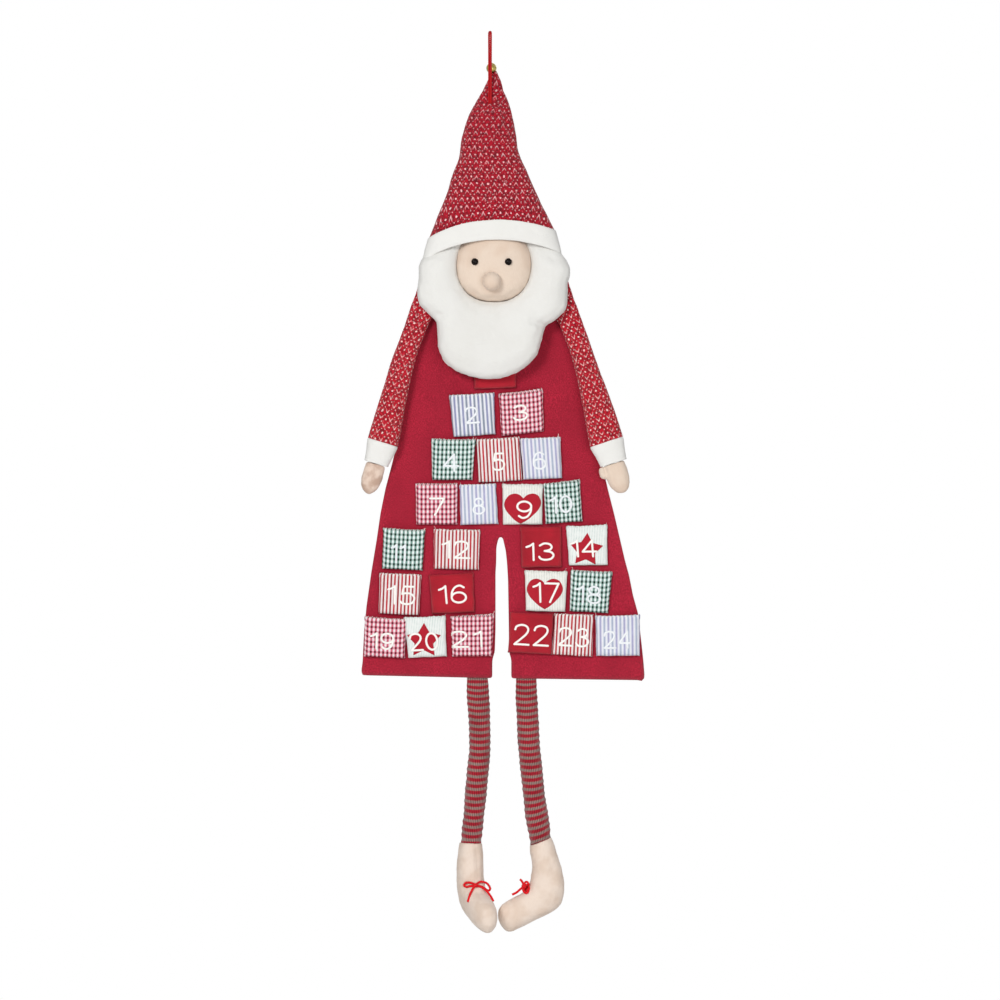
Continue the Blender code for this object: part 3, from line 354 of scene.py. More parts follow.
def eased(value, low, high):
    """0 below low, 1 above high and a smooth step between them."""
    t = min(max((value - low) / (high - low), 0.0), 1.0)
    return t * t * (3 - 2 * t)


def hump(value, width):
    """1 where the value is 0, falling off within about that width."""
    return math.exp(-((value / width) ** 2))


def ripple(point, size, seed=0.0):
    """Smooth noise from -1 to 1 with swells of about that size."""
    return noise.noise(Vector(point) / size + Vector((seed, seed * 1.7, -seed)))


def srgb(red, green, blue):
    """A colour from the values that a picture shows, 0 to 255."""
    shares = [value / 255 for value in (red, green, blue)]
    return (*[c / 12.92 if c < 0.04045 else ((c + 0.055) / 1.055) ** 2.4 for c in shares], 1.0)


# Materials. Each colour is given as a picture shows it
BLACK = (0, 0, 0)


class Value:
    """A value in a node tree, which takes part in sums."""

    def __init__(self, tree, socket):
        self.tree = tree
        self.socket = socket

    def __add__(self, other):
        return self.tree.calc("ADD", self, other)

    def __sub__(self, other):
        return self.tree.calc("SUBTRACT", self, other)

    def __mul__(self, other):
        return self.tree.calc("MULTIPLY", self, other)

    def __truediv__(self, other):
        return self.tree.calc("DIVIDE", self, other)


class Nodes:
    """A node tree built from short calls."""

    def __init__(self, tree):
        self.tree = tree

    def node(self, kind):
        return self.tree.nodes.new("ShaderNode" + kind)

    def join(self, socket, value):
        """Links a value to a socket, or sets the socket to a number or a colour."""
        value = getattr(value, "socket", value)
        if isinstance(value, bpy.types.NodeSocket):
            self.tree.links.new(value, socket)
        else:
            socket.default_value = srgb(*value) if isinstance(value, tuple) else value

    def calc(self, operation, *values):
        made = self.node("Math")
        made.operation = operation
        for socket, value in zip(made.inputs, values):
            self.join(socket, value)
        return Value(self, made.outputs[0])

    def step(self, value, low, high, first=0.0, last=1.0):
        """A smooth step from first to last as a value goes from low to high."""
        made = self.node("MapRange")
        made.interpolation_type = "SMOOTHSTEP"
        for socket, entry in zip(made.inputs, (value, low, high, first, last)):
            self.join(socket, entry)
        return Value(self, made.outputs[0])


class Finish(Nodes):
    """A material."""

    def __init__(self, name, roughness=0.9, sheen=0.0):
        self.material = bpy.data.materials.new(name)
        self.material.use_nodes = True
        super().__init__(self.material.node_tree)
        self.shader = self.tree.nodes["Principled BSDF"]
        self.shader.inputs["Roughness"].default_value = roughness
        self.shader.inputs["Sheen Weight"].default_value = sheen
        self.shader.inputs["Specular IOR Level"].default_value = 0.25
        coordinates = self.node("TexCoord")
        self.place = coordinates.outputs["Object"]
        self.u, self.v, _ = self.parts(coordinates.outputs["UV"])

    def parts(self, vector):
        made = self.node("SeparateXYZ")
        self.join(made.inputs[0], vector)
        return [Value(self, socket) for socket in made.outputs]

    def mix(self, share, a, b):
        made = self.node("Mix")
        made.data_type = "RGBA"
        for number, entry in ((0, share), (6, a), (7, b)):
            self.join(made.inputs[number], entry)
        return Value(self, made.outputs[2])

    def noise(self, size, detail=2.0, squeeze=None):
        """Noise of a size, drawn out in height where a squeeze is given."""
        made = self.node("TexNoise")
        place = self.place
        if squeeze:
            turned = self.node("Mapping")
            turned.inputs["Scale"].default_value = (1.0, 1.0, squeeze)
            self.join(turned.inputs["Vector"], place)
            place = turned.outputs[0]
        self.join(made.inputs["Vector"], place)
        made.inputs["Scale"].default_value = 1 / size
        made.inputs["Detail"].default_value = detail
        return Value(self, made.outputs["Fac"])

    def patches(self, colour, other, amount, grain, low=0.35, high=0.75):
        """A colour that turns to another, by an amount, where a grain is high."""
        return self.mix(self.step(grain, low, high, 0.0, amount), colour, other)

    def stripes(self, value, pitch, share, soft):
        """1 inside stripes that take up a share of the pitch."""
        swing = self.calc("PINGPONG", value, pitch / 2)
        return self.step(swing, pitch / 2 * (share - soft), pitch / 2 * (share + soft), 1.0, 0.0)

    def wave(self, value, pitch):
        return self.calc("SINE", value * (math.tau / pitch))

    def weave(self):
        """Threads over and under each other, from -1 to 1."""
        return self.wave(self.u, WEAVE) * self.wave(self.v, WEAVE)

    def bump(self, height, distance):
        made = self.node("Bump")
        made.inputs["Distance"].default_value = distance
        made.inputs["Strength"].default_value = 1.0
        self.join(made.inputs["Height"], height)
        normal = self.shader.inputs["Normal"]
        if normal.is_linked:
            self.join(made.inputs["Normal"], normal.links[0].from_socket)
        self.join(normal, made.outputs[0])

    def woven(self, depth, swell=0.0004):
        self.bump(self.weave(), depth)
        self.bump(self.noise(0.006, 3.0), swell)

    def paint(self, colour):
        self.join(self.shader.inputs["Base Color"], colour)
        return self.material


def felted(name, colour, shade):
    made = Finish(name, 0.95, 0.35)
    fibres = made.noise(0.0009, 3.0, 0.45)
    tone = made.patches(shade, colour, 1.0, fibres, 0.35, 0.7)
    tone = made.patches(tone, shade, 0.42, made.noise(0.045, 3.0, 0.6), 0.35, 0.7)
    made.bump(fibres, 0.00035)
    made.bump(made.noise(0.004), 0.0005)
    return made.paint(tone)


def cotton(name, colour, patches):
    made = Finish(name, 0.88, 0.15)
    tone = made.patches(colour, BLACK, patches, made.noise(0.03, 3.0), 0.3)
    tone = made.patches(tone, BLACK, 0.10, made.weave(), -1.0, 1.0)
    made.woven(0.00012)
    return made.paint(tone)


def jersey(name, colour, warm, patches=0.40, size=0.035):
    """Fine skin-coloured knit, a little warmer in patches at random."""
    made = Finish(name, 0.85, 0.25)
    ribs = made.noise(0.0011, 2.0, 0.25)
    tone = made.patches(colour, warm, patches, made.noise(size), 0.38, 0.66)
    tone = made.patches(tone, warm, 0.12, ribs)
    made.bump(ribs, 0.0002)
    made.bump(made.noise(0.008, 3.0), 0.0005)
    return made.paint(tone)


def fleece(name, colour, shade):
    """Soft brushed white cotton."""
    made = Finish(name, 0.95, 0.30)
    made.bump(made.noise(0.0010, 3.0), 0.00018)
    made.bump(made.noise(0.012, 3.0), 0.0012)
    return made.paint(made.patches(colour, shade, 0.30, made.noise(0.05, 3.0)))


def printed(name, ground, ink, pale, cell, head_up, shade_from_height=9.0):
    """Rows of dots and little chevrons, printed on a red ground, faded in random patches, and fainter above
    a height as painted shade.
    """
    made = Finish(name, 0.85, 0.12)
    wide, high = cell
    p = made.u / wide + (made.noise(0.012) - 0.5) * 0.62
    q = made.v / (high * head_up) + (made.noise(0.009, 2.0, 0.8) - 0.5) * 0.62
    odd = made.calc("FLOORED_MODULO", made.calc("FLOOR", p) + made.calc("FLOOR", q), 2.0)
    even = made.calc("SUBTRACT", 1.0, odd)
    a = made.calc("ABSOLUTE", (made.calc("FRACT", p) - 0.5) * wide)
    b = (made.calc("FRACT", q) - 0.5) * high

    def far(x, z):
        across, up = a - x, b - z
        return made.calc("SQRT", across * across + up * up)

    def blob(distance, radius):
        return made.step(distance, radius * 0.7, radius * 1.2, 1.0, 0.0)

    dot, spots = far(0.0, 0.0024), far(0.0027, -0.0030)
    roof = made.calc("ABSOLUTE", b + a * 1.5 - 0.0035)
    arm = made.step(roof, 0.0006, 0.0016, 1.0, 0.0) * made.step(a, 0.0022, 0.0030, 1.0, 0.0)
    chevron = made.calc("MAXIMUM", arm * 0.58, blob(far(0.0, 0.0030), 0.0010) * 0.9)
    dots = made.calc("MAXIMUM", blob(dot, 0.00135), blob(spots, 0.00094) * 0.66)
    specks = made.step(made.noise(0.0024, 1.0), 0.62, 0.72, 0.0, 0.30)
    marks = made.calc("MAXIMUM", dots * even + chevron * odd, specks)
    worn_and_shaded = marks * made.step(made.noise(0.004), 0.3, 0.6, 0.6, 1.0)
    # Above the height the marks fade to 70 per cent: painted shade, darkening the upper hat
    worn_and_shaded = worn_and_shaded * made.step(made.parts(made.place)[2], shade_from_height, shade_from_height + 0.07, 1.0, 0.70)
    halo = made.step(made.calc("MINIMUM", dot, spots), 0.0016, 0.0030, 0.40, 0.0) * even
    dull = made.calc("MAXIMUM", made.step(made.noise(0.0028, 1.0), 0.42, 0.64, 0.0, 0.8), halo)
    made.woven(0.00012, 0.0005)
    return made.paint(made.mix(worn_and_shaded, made.mix(dull, ground, ink), pale))


def gingham(name, dark, upright, level, pale):
    """Checks of a colour and white, deep where an upright and a level stripe cross."""
    made = Finish(name, 0.85, 0.08)
    across = made.stripes(made.u, 0.0058, 0.50, 0.14)
    along = made.stripes(made.v, 0.0070, 0.46, 0.14)
    tone = made.mix(along, made.patches(pale, BLACK, 0.06, made.noise(0.02, 3.0), 0.3), level)
    made.woven(0.00015)
    return made.paint(made.mix(across, tone, made.mix(along, upright, dark)))


def striped(name, first, second, pale, pitch, share):
    """Upright stripes that take turns between two colours."""
    made = Finish(name, 0.85, 0.10)
    turn = made.step(made.calc("PINGPONG", made.u, pitch), pitch * 0.45, pitch * 0.55)
    marks = made.stripes(made.u, pitch, share, 0.12) * made.step(made.noise(0.003), 0.2, 0.5, 0.85, 1.0)
    tone = made.mix(marks, pale, made.mix(turn, first, second))
    made.woven(0.00015)
    return made.paint(made.patches(tone, BLACK, 0.06, made.noise(0.02), 0.4, 0.8))


def pinstriped(name, colour, thread):
    """Cream cotton with a fine cord in it."""
    made = Finish(name, 0.9, 0.10)
    lines = made.stripes(made.u, 0.0023, 0.30, 0.20)
    made.bump(lines * -1.0, 0.0002)
    made.bump(made.noise(0.006, 3.0), 0.0004)
    return made.paint(made.mix(lines * made.step(made.noise(0.006), 0.3, 0.7, 0.35, 0.95), colour, thread))


def knit(name, red, grey):
    """Ribbed knit in rings of two colours, with painted shade in the valleys between the ribs."""
    made = Finish(name, 0.95, 0.25)
    loops = made.wave(made.u, RIB_PITCH)
    ragged = made.v + loops * 0.00028 + made.noise(0.0014) * 0.0016
    tone = made.mix(made.stripes(ragged, STRIPE_PITCH, 0.56, 0.20), grey, red)
    tone = made.patches(tone, BLACK, 0.22, made.noise(0.02, 3.0))
    made.bump(loops + made.wave(made.v, 0.0013) * 0.4, 0.0003)
    # The valleys between the ribs are painted up to two thirds black: painted shade
    return made.paint(made.mix(made.step(loops, -1.0, 0.8, 0.66, 0.0), tone, BLACK))


def silky(name, colour, dark, size=0.0007):
    made = Finish(name, 0.75, 0.05)
    grain = made.noise(size)
    made.bump(grain, 0.0001)
    return made.paint(made.mix(made.step(grain, 0.3, 0.7, 0.25, 0.0), colour, dark))


def brass(name):
    made = Finish(name, 0.34)
    made.shader.inputs["Metallic"].default_value = 1.0
    made.bump(made.noise(0.0015), 0.00004)
    return made.paint(made.patches((176, 160, 96), (112, 98, 52), 1.0, made.noise(0.0025, 3.0), 0.35, 0.7))


def bead(name):
    made = Finish(name, 0.25)
    made.shader.inputs["Specular IOR Level"].default_value = 0.10
    return made.paint(made.mix(made.noise(0.003, 1.0), (3, 2, 2), (20, 11, 7)))


finishes = {
    name: make(name, *rest)
    for make, name, *rest in (
        (silky, "cord_red", (178, 2, 14), (104, 0, 6)),
        (brass, "bell_brass"),
        # The hat's print and the sleeves' print are copies of one cloth: the hat's darker ground is painted
        # shade, the sleeves' brighter ground painted light. The hat's marks also fade above a height,
        # painted shade
        (printed, "print_red", (182, 6, 36), (88, 0, 18), (255, 206, 208), (0.0078, 0.0104), -1, -0.20),
        (printed, "sleeve_print", (200, 14, 40), (104, 6, 20), (255, 220, 216), (0.0076, 0.0100), 1),
        (fleece, "white_cloth", (227, 226, 222), (217, 215, 210)),
        (fleece, "beard_white", (223, 222, 218), (211, 209, 203)),
        (jersey, "skin_cloth", (222, 204, 187), (204, 176, 154)),
        # A browner copy of the skin cloth with strong warm patches, for the left hand: its darker brown
        # patches are painted shade
        (jersey, "left_hand_cloth", (222, 200, 184), (172, 138, 118), 0.7, 0.014),
        (jersey, "foot_cloth", (227, 210, 196), (206, 182, 162), 0.5, 0.022),
        (bead, "bead_black"),
        (felted, "felt_red", (188, 31, 58), (138, 15, 38)),
        (knit, "stripe_knit", (188, 12, 42), (172, 141, 132)),
        (cotton, "plain_red", (190, 26, 46), 0.24),
        (gingham, "red_gingham", (112, 6, 34), (224, 110, 132), (240, 160, 176), (255, 240, 244)),
        (gingham, "green_gingham", (8, 44, 36), (128, 166, 154), (186, 212, 204), (250, 255, 255)),
        (striped, "blue_stripe", (182, 180, 216), (184, 194, 216), (246, 247, 255), STRIPE, 0.48),
        # A darker copy of the blue stripe, for pocket 2: its deeper colours are painted shade
        (striped, "deep_blue_stripe", (154, 158, 194), (146, 156, 174), (246, 247, 255), STRIPE, 0.50),
        (striped, "red_stripe", (200, 36, 52), (166, 42, 48), (255, 246, 244), 0.00507, 0.48),
        (pinstriped, "cream_heart", (235, 234, 228), (176, 182, 174)),
        (pinstriped, "cream_star", (232, 235, 232), (176, 194, 188)),
        (silky, "bow_red", (222, 10, 24), (132, 0, 10)),
        (silky, "cool_numeral", (236, 239, 242), (212, 215, 220), 0.0012),
        (silky, "numeral", (246, 243, 238), (224, 220, 212), 0.0012),
        (cotton, "red_applique", (190, 26, 46), 0.10),
    )
}


# Meshes


def given(thing, **values):
    """The same thing, with these values set."""
    for name, value in values.items():
        setattr(thing, name, value)
    return thing


def finish_with(made, name):
    made.data.materials.clear()
    made.data.materials.append(finishes[name])
    return made


def dress(made, slot, *replaced, fill=None, body="body", blend=None):
    """Ties a piece to its body, or, where a blend is given, bakes its place into its mesh and leaves it
    untied, and hides the CAD parts that it stands for. The slot is not used.
    """
    if blend:
        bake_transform(made)
    else:
        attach(made, body)
    if replaced:
        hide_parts(*replaced)
    return made


def new_object(name, mesh):
    made = bpy.data.objects.new(name, mesh)
    bpy.context.scene.collection.objects.link(made)
    return made


def mesh_from(bm, name):
    mesh = bpy.data.meshes.new(name)
    bm.to_mesh(mesh)
    bm.free()
    return mesh


def mesh_object(name, points, faces, uvs):
    """A smooth mesh, with a UV for each corner of each face."""
    mesh = bpy.data.meshes.new(name)
    mesh.from_pydata([tuple(point) for point in points], [], faces)
    layer = mesh.uv_layers.new(name="UVMap")
    layer.data.foreach_set("uv", np.array(uvs, dtype=float).ravel())
    mesh.shade_smooth()
    return new_object(name, mesh)


def join_meshes(name, parts):
    """One object from several."""
    bm = bmesh.new()
    for part in parts:
        bm.from_mesh(part.data)
    mesh = mesh_from(bm, name)
    mesh.shade_smooth()
    for part in parts:
        bpy.data.objects.remove(part)
    return new_object(name, mesh)


def bake(made):
    """Applies the modifiers."""
    bpy.context.view_layer.update()
    mesh = bpy.data.meshes.new_from_object(made.evaluated_get(bpy.context.evaluated_depsgraph_get()))
    made.modifiers.clear()
    made.data = mesh


def face_outward(made):
    bm = bmesh.new()
    bm.from_mesh(made.data)
    bmesh.ops.recalc_face_normals(bm, faces=bm.faces)
    bm.to_mesh(made.data)
    bm.free()
    made.data.shade_smooth()
    return made


def thicken(made, thickness):
    given(made.modifiers.new("cloth", "SOLIDIFY"), thickness=thickness, offset=-1.0)
    bake(made)
    made.data.shade_smooth()
    return made


def turns(count):
    """Angles an even step apart, once round."""
    return np.arange(count) * math.tau / count


def section_ring(sides, power):
    """Points round a unit section, from the back by the right-hand side to the front and round."""
    angle = turns(sides) - math.pi / 2
    c, s = np.cos(angle), np.sin(angle)
    return np.sign(c) * np.abs(c) ** (2 / power), np.sign(s) * np.abs(s) ** (2 / power)


def tube(name, rings, joined=False):
    """A surface through rings of points, whose UV is metres round from the front and metres along."""
    rings = np.array(rings, dtype=float)
    count, sides = rings.shape[:2]
    steps = np.linalg.norm(np.diff(np.concatenate([rings, rings[:, :1]], axis=1), axis=1), axis=2)
    u = np.concatenate([np.zeros((count, 1)), np.cumsum(steps, axis=1)], axis=1)
    u -= u[:, sides // 2 : sides // 2 + 1]
    front = rings[:, sides // 2]
    if joined:
        front = np.concatenate([front, front[:1]])
    v = np.concatenate([[0], np.cumsum(np.linalg.norm(np.diff(front, axis=0), axis=1))])
    faces, uvs = [], []
    for r in range(count if joined else count - 1):
        after = (r + 1) % count
        for i in range(sides):
            j = (i + 1) % sides
            faces.append((r * sides + i, r * sides + j, after * sides + j, after * sides + i))
            uvs += [(u[r, i], v[r]), (u[r, i + 1], v[r])]
            uvs += [(u[after, i + 1], v[r + 1]), (u[after, i], v[r + 1])]
    points = list(rings.reshape(-1, 3))
    if not joined:
        for r, turn in ((0, 1), (count - 1, -1)):
            points.append(rings[r].mean(axis=0))
            for i in range(sides):
                pair = [r * sides + (i + 1) % sides, r * sides + i][::turn]
                faces.append((*pair, len(points) - 1))
                uvs += [(u[r, i], v[r])] * 3
    return face_outward(mesh_object(name, points, faces, uvs))


def shift(made, amount):
    """Moves each point along its normal by what amount gives for its place and normal."""
    mesh = made.data
    mesh.update()
    normals = [vertex.normal.copy() for vertex in mesh.vertices]
    for vertex, normal in zip(mesh.vertices, normals):
        vertex.co += normal * amount(vertex.co, normal)
    mesh.update()


def crease_at(point, creases):
    """How deep the creases are at a point, in metres."""
    deep = 0.0
    for start, end, depth, half in creases:
        a, b = Vector(spot(*start)), Vector(spot(*end))
        place = Vector((point.x, point.z))
        along = b - a
        t = min(max((place - a).dot(along) / along.length_squared, 0), 1)
        far = (place - a - along * t).length / (half * PIXEL)
        deep += depth * 0.001 * math.exp(-far * far) * math.sin(math.pi * min(max(t, 0.08), 0.92))
    return deep


def coords(mesh):
    points = np.empty(len(mesh.vertices) * 3)
    mesh.vertices.foreach_get("co", points)
    return points.reshape(-1, 3)


def sections(node, stations, start=(0, WALL, 0), along=(0, 0, -1), across=(1, 0, 0)):
    """Where a CAD node lies at each station: low and high across the line, then back and front."""
    mesh = nodes[node].data
    points = coords(mesh)
    edges = np.empty(len(mesh.edges) * 2, dtype=int)
    mesh.edges.foreach_get("vertices", edges)
    edges = edges.reshape(-1, 2)
    start, along, across = (np.array(v, dtype=float) for v in (start, along, across))
    down = (points - start) @ along
    a, b = down[edges[:, 0]], down[edges[:, 1]]
    rows = []
    for station in stations:
        cut = ((a - station) * (b - station) <= 0) & (np.abs(a - b) > 1e-9)
        share = ((station - a[cut]) / (b[cut] - a[cut]))[:, None]
        found = points[edges[cut, 0]] * (1 - share) + points[edges[cut, 1]] * share - start
        side, out = found @ across, -found[:, 1]
        rows.append((side.min(), side.max(), out.min(), out.max()))
    return np.array(rows)


def span(node, start, along):
    """Where a CAD node begins and ends along a line."""
    down = (coords(nodes[node].data) - np.array(start)) @ np.array(along)
    return down.min(), down.max()


def halved(low, high):
    """The middle between two values, and half of what lies between them."""
    return (low + high) / 2, (high - low) / 2


def smoothed(table, rounds):
    """The rows averaged with their neighbours, the ends held."""
    for _ in range(rounds):
        table[1:-1] = table[:-2] * 0.25 + table[1:-1] * 0.5 + table[2:] * 0.25
    return table


def end_heavy(count, low, high):
    """Values from low to high that lie closer at both ends."""
    return low + (high - low) * (1 - np.cos(np.linspace(0, math.pi, count))) / 2


def inflate(made, cap):
    """Fills a closed cloth form under pressure, no point moving further than the cap."""
    rest = coords(made.data)
    cloth = made.modifiers.new("stuffing", "CLOTH")
    given(
        cloth.settings, quality=5, mass=0.2, tension_stiffness=20, compression_stiffness=20,
        bending_stiffness=0.2, use_pressure=True, uniform_pressure_force=PRESSURE,
    )
    cloth.settings.effector_weights.gravity = 0
    given(cloth.point_cache, frame_start=1, frame_end=SIM_FRAMES)
    for step in range(1, SIM_FRAMES + 1):
        bpy.context.scene.frame_set(step)
    bake(made)
    bpy.context.scene.frame_set(1)
    move = coords(made.data) - rest
    reach = np.linalg.norm(move, axis=1, keepdims=True)
    held = rest + move * (cap * np.tanh(reach / cap) / np.maximum(reach, 1e-9))
    made.data.vertices.foreach_set("co", held.ravel())
    made.data.update()


def stuffed(name, node, voxel, rounds, swell=0.0, cap=0.0):
    """A soft form grown from a CAD solid: an even mesh, relaxed, filled under pressure and made finer."""
    made = new_object(name, nodes[node].data.copy())
    made.data.materials.clear()
    given(made.modifiers.new("even", "REMESH"), mode="VOXEL", voxel_size=voxel)
    given(made.modifiers.new("relax", "SMOOTH"), factor=0.5, iterations=rounds)
    bake(made)
    if cap:
        inflate(made, cap)
        given(made.modifiers.new("finer", "SUBSURF"), levels=1, render_levels=1)
        bake(made)
    made.data.shade_smooth()
    if swell:
        shift(made, lambda place, normal: swell)
    return made


def flat_uv(made):
    """A UV in metres as seen from the front."""
    mesh = made.data
    layer = mesh.uv_layers.new(name="UVMap")
    for loop in mesh.loops:
        place = mesh.vertices[loop.vertex_index].co
        layer.data[loop.index].uv = (place.x, place.z)


def smooth_line(points, step):
    """Points about a step apart along a smooth curve through the given ones."""
    points = [Vector(p) for p in points]
    ends = [2 * points[0] - points[1], *points, 2 * points[-1] - points[-2]]
    fine = []
    for a, b, c, d in zip(ends, ends[1:], ends[2:], ends[3:]):
        for i in range(20):
            t = i / 20
            bend = (2 * a - 5 * b + 4 * c - d) * (t * t / 2)
            fine.append(b + (c - a) * (t / 2) + bend + (3 * b - a - 3 * c + d) * (t**3 / 2))
    fine.append(points[-1])
    return even_line(fine, step)


def even_line(fine, step):
    """Points an even step apart along a line of points."""
    lengths = [0]
    for a, b in zip(fine, fine[1:]):
        lengths.append(lengths[-1] + (b - a).length)
    count = max(2, round(lengths[-1] / step))
    line, k = [], 0
    for i in range(count + 1):
        want = lengths[-1] * i / count
        while k < len(lengths) - 2 and lengths[k + 1] < want:
            k += 1
        line.append(fine[k].lerp(fine[k + 1], (want - lengths[k]) / max(lengths[k + 1] - lengths[k], 1e-9)))
    return line


def rope(name, line, diameter, strands=3, lay=3.2, sides=18, depth=0.16):
    """A twisted cord along a line, its strands' grooves winding round it."""
    direction = [(b - a).normalized() for a, b in zip(line, line[1:])]
    direction.append(direction[-1])
    side = direction[0].orthogonal().normalized()
    rings, run = [], 0.0
    for k, (place, ahead) in enumerate(zip(line, direction)):
        side = (side - ahead * side.dot(ahead)).normalized()
        other = ahead.cross(side)
        if k:
            run += (place - line[k - 1]).length
        ring = []
        for angle in turns(sides):
            groove = abs(math.sin((angle - math.tau * run / (lay * diameter)) * strands / 2)) ** 0.7
            reach = diameter / 2 * (1 - depth * (1 - groove))
            ring.append(place + side * (reach * math.cos(angle)) + other * (reach * math.sin(angle)))
        rings.append(ring)
    return tube(name, rings)


# Camera, light and floor


def make_studio():
    x, z = spot(IMAGE_SIDE / 2, IMAGE_SIDE / 2)
    camera = given(bpy.data.cameras.new("camera"), lens=LENS, sensor_width=SENSOR)
    eye = at(x, VIEW_OUT + IMAGE_SIDE * PIXEL * LENS / SENSOR, z)
    scene = bpy.context.scene
    scene.camera = given(new_object("camera", camera), location=eye, rotation_euler=(math.pi / 2, 0, 0))
    scene.view_settings.view_transform = "Standard"

    aim = Vector((x, 0, z))
    for name, place, size, power in (
        ("key", (-1.9, -4.1, 1.8), 1.3, 126), ("fill", (1.4, -3.5, -0.3), 2.4, 52),
        ("back", (0.6, 2.4, 0.9), 2.2, 22),
    ):
        place = Vector(place) + aim
        turn = (aim - place).to_track_quat("-Z", "Y").to_euler()
        lamp = given(bpy.data.lights.new(name, "AREA"), size=size, energy=power)
        given(new_object(name, lamp), location=place, rotation_euler=turn)

    scene.world = given(bpy.data.worlds.new("studio"), use_nodes=True)
    sky = Nodes(scene.world.node_tree)
    background = sky.tree.nodes["Background"]
    path = sky.node("LightPath")
    seen = sky.calc("MAXIMUM", path.outputs["Is Camera Ray"], path.outputs["Is Glossy Ray"])
    sky.join(background.inputs["Color"], (255, 255, 255))
    sky.join(background.inputs["Strength"], sky.step(seen, 0.0, 1.0, SKY, 1.0))


def make_floor():
    """A round pale floor below the doll, which fades out at its rim."""
    bm = bmesh.new()
    bmesh.ops.create_circle(bm, cap_ends=True, segments=96, radius=FLOOR_RADIUS)
    floor = new_object("floor", mesh_from(bm, "floor"))
    floor.location = (0, 0, FLOOR_Z)
    made = Finish("floor", 0.9)
    made.shader.inputs["Base Color"].default_value = (0.86, 0.86, 0.86, 1.0)
    glow, clear, path = (made.node(kind) for kind in ("Emission", "BsdfTransparent", "LightPath"))
    glow.inputs["Strength"].default_value = 0.97
    far = given(made.node("VectorMath"), operation="LENGTH")
    made.join(far.inputs[0], made.place)

    def blended(share, a, b):
        both = made.node("MixShader")
        for socket, value in zip(both.inputs, (share, a.outputs[0], b.outputs[0])):
            made.join(socket, value)
        return both

    lit = blended(made.calc("MULTIPLY", path.outputs["Is Camera Ray"], 0.6), made.shader, glow)
    rim = made.step(far.outputs["Value"], 0.45 * FLOOR_RADIUS, 0.97 * FLOOR_RADIUS)
    made.join(made.tree.nodes["Material Output"].inputs[0], blended(rim, lit, clear).outputs[0])
    floor.data.materials.append(made.material)


# Hanging cord and bell


def make_cord():
    line = smooth_line(cord_route, 0.0005)
    cord = finish_with(rope("hanging_cord_rope", line, CORD_DIAMETER), "cord_red")
    length = sum((b - a).length for a, b in zip(line, line[1:]))
    dress(cord, "cord_red", "hanging_cord")
    path = [tuple(point) for point in smooth_line(cord_route, 0.0028)]


def make_bell():
    low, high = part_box("bell")
    centre, radius = (low + high) / 2, (high.x - low.x) / 2
    rings = []
    for i in range(1, 32):
        angle = math.pi * i / 32
        reach = radius * (math.sin(angle) * 0.965 + 0.035 * hump(angle - math.pi / 2, 0.06))
        up = radius * math.cos(angle)
        rings.append([centre + Vector((reach * math.cos(t), reach * math.sin(t), up)) for t in turns(48)])
    bell = thicken(finish_with(tube("bell_shell", rings), "bell_brass"), BELL_WALL)
    cutters = []
    for number, turn in enumerate((0, math.pi / 2)):
        bm = bmesh.new()
        bmesh.ops.create_cube(bm, size=1)
        bmesh.ops.scale(bm, verts=bm.verts, vec=(radius * 1.3, BELL_SLOT, radius))
        for end in (-1, 1):
            hole = bmesh.ops.create_cone(
                bm, cap_ends=True, segments=16, radius1=BELL_HOLE, radius2=BELL_HOLE, depth=radius,
            )
            bmesh.ops.translate(bm, verts=hole["verts"], vec=(end * radius * 0.62, 0, 0))
        bmesh.ops.rotate(bm, verts=bm.verts, matrix=Matrix.Rotation(turn, 3, "Z"))
        bmesh.ops.translate(bm, verts=bm.verts, vec=centre + Vector((0, 0, radius)))
        cutters.append(new_object(f"bell_slot_{number}", mesh_from(bm, "bell_slot")))
        given(
            bell.modifiers.new("slot", "BOOLEAN"), operation="DIFFERENCE", solver="EXACT", use_self=True,
            object=cutters[-1],
        )
    bake(bell)
    for cutter in cutters:
        bpy.data.objects.remove(cutter)
    dress(bell, "bell_brass", "bell")
    finish_with(nodes["bell_pellet"], "bell_brass")


# Hat, band, head and beard


def brim_height():
    """How high the hat's brim lies at its middle, which is where the band begins."""
    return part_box("hat_band")[1].z - BRIM_TILT**2 / BRIM_ARCH / 4


def corner_drop(across):
    """How much lower the hat's left-hand corner hangs."""
    return CORNER_DROP * np.clip(-across, 0, 1) ** 4


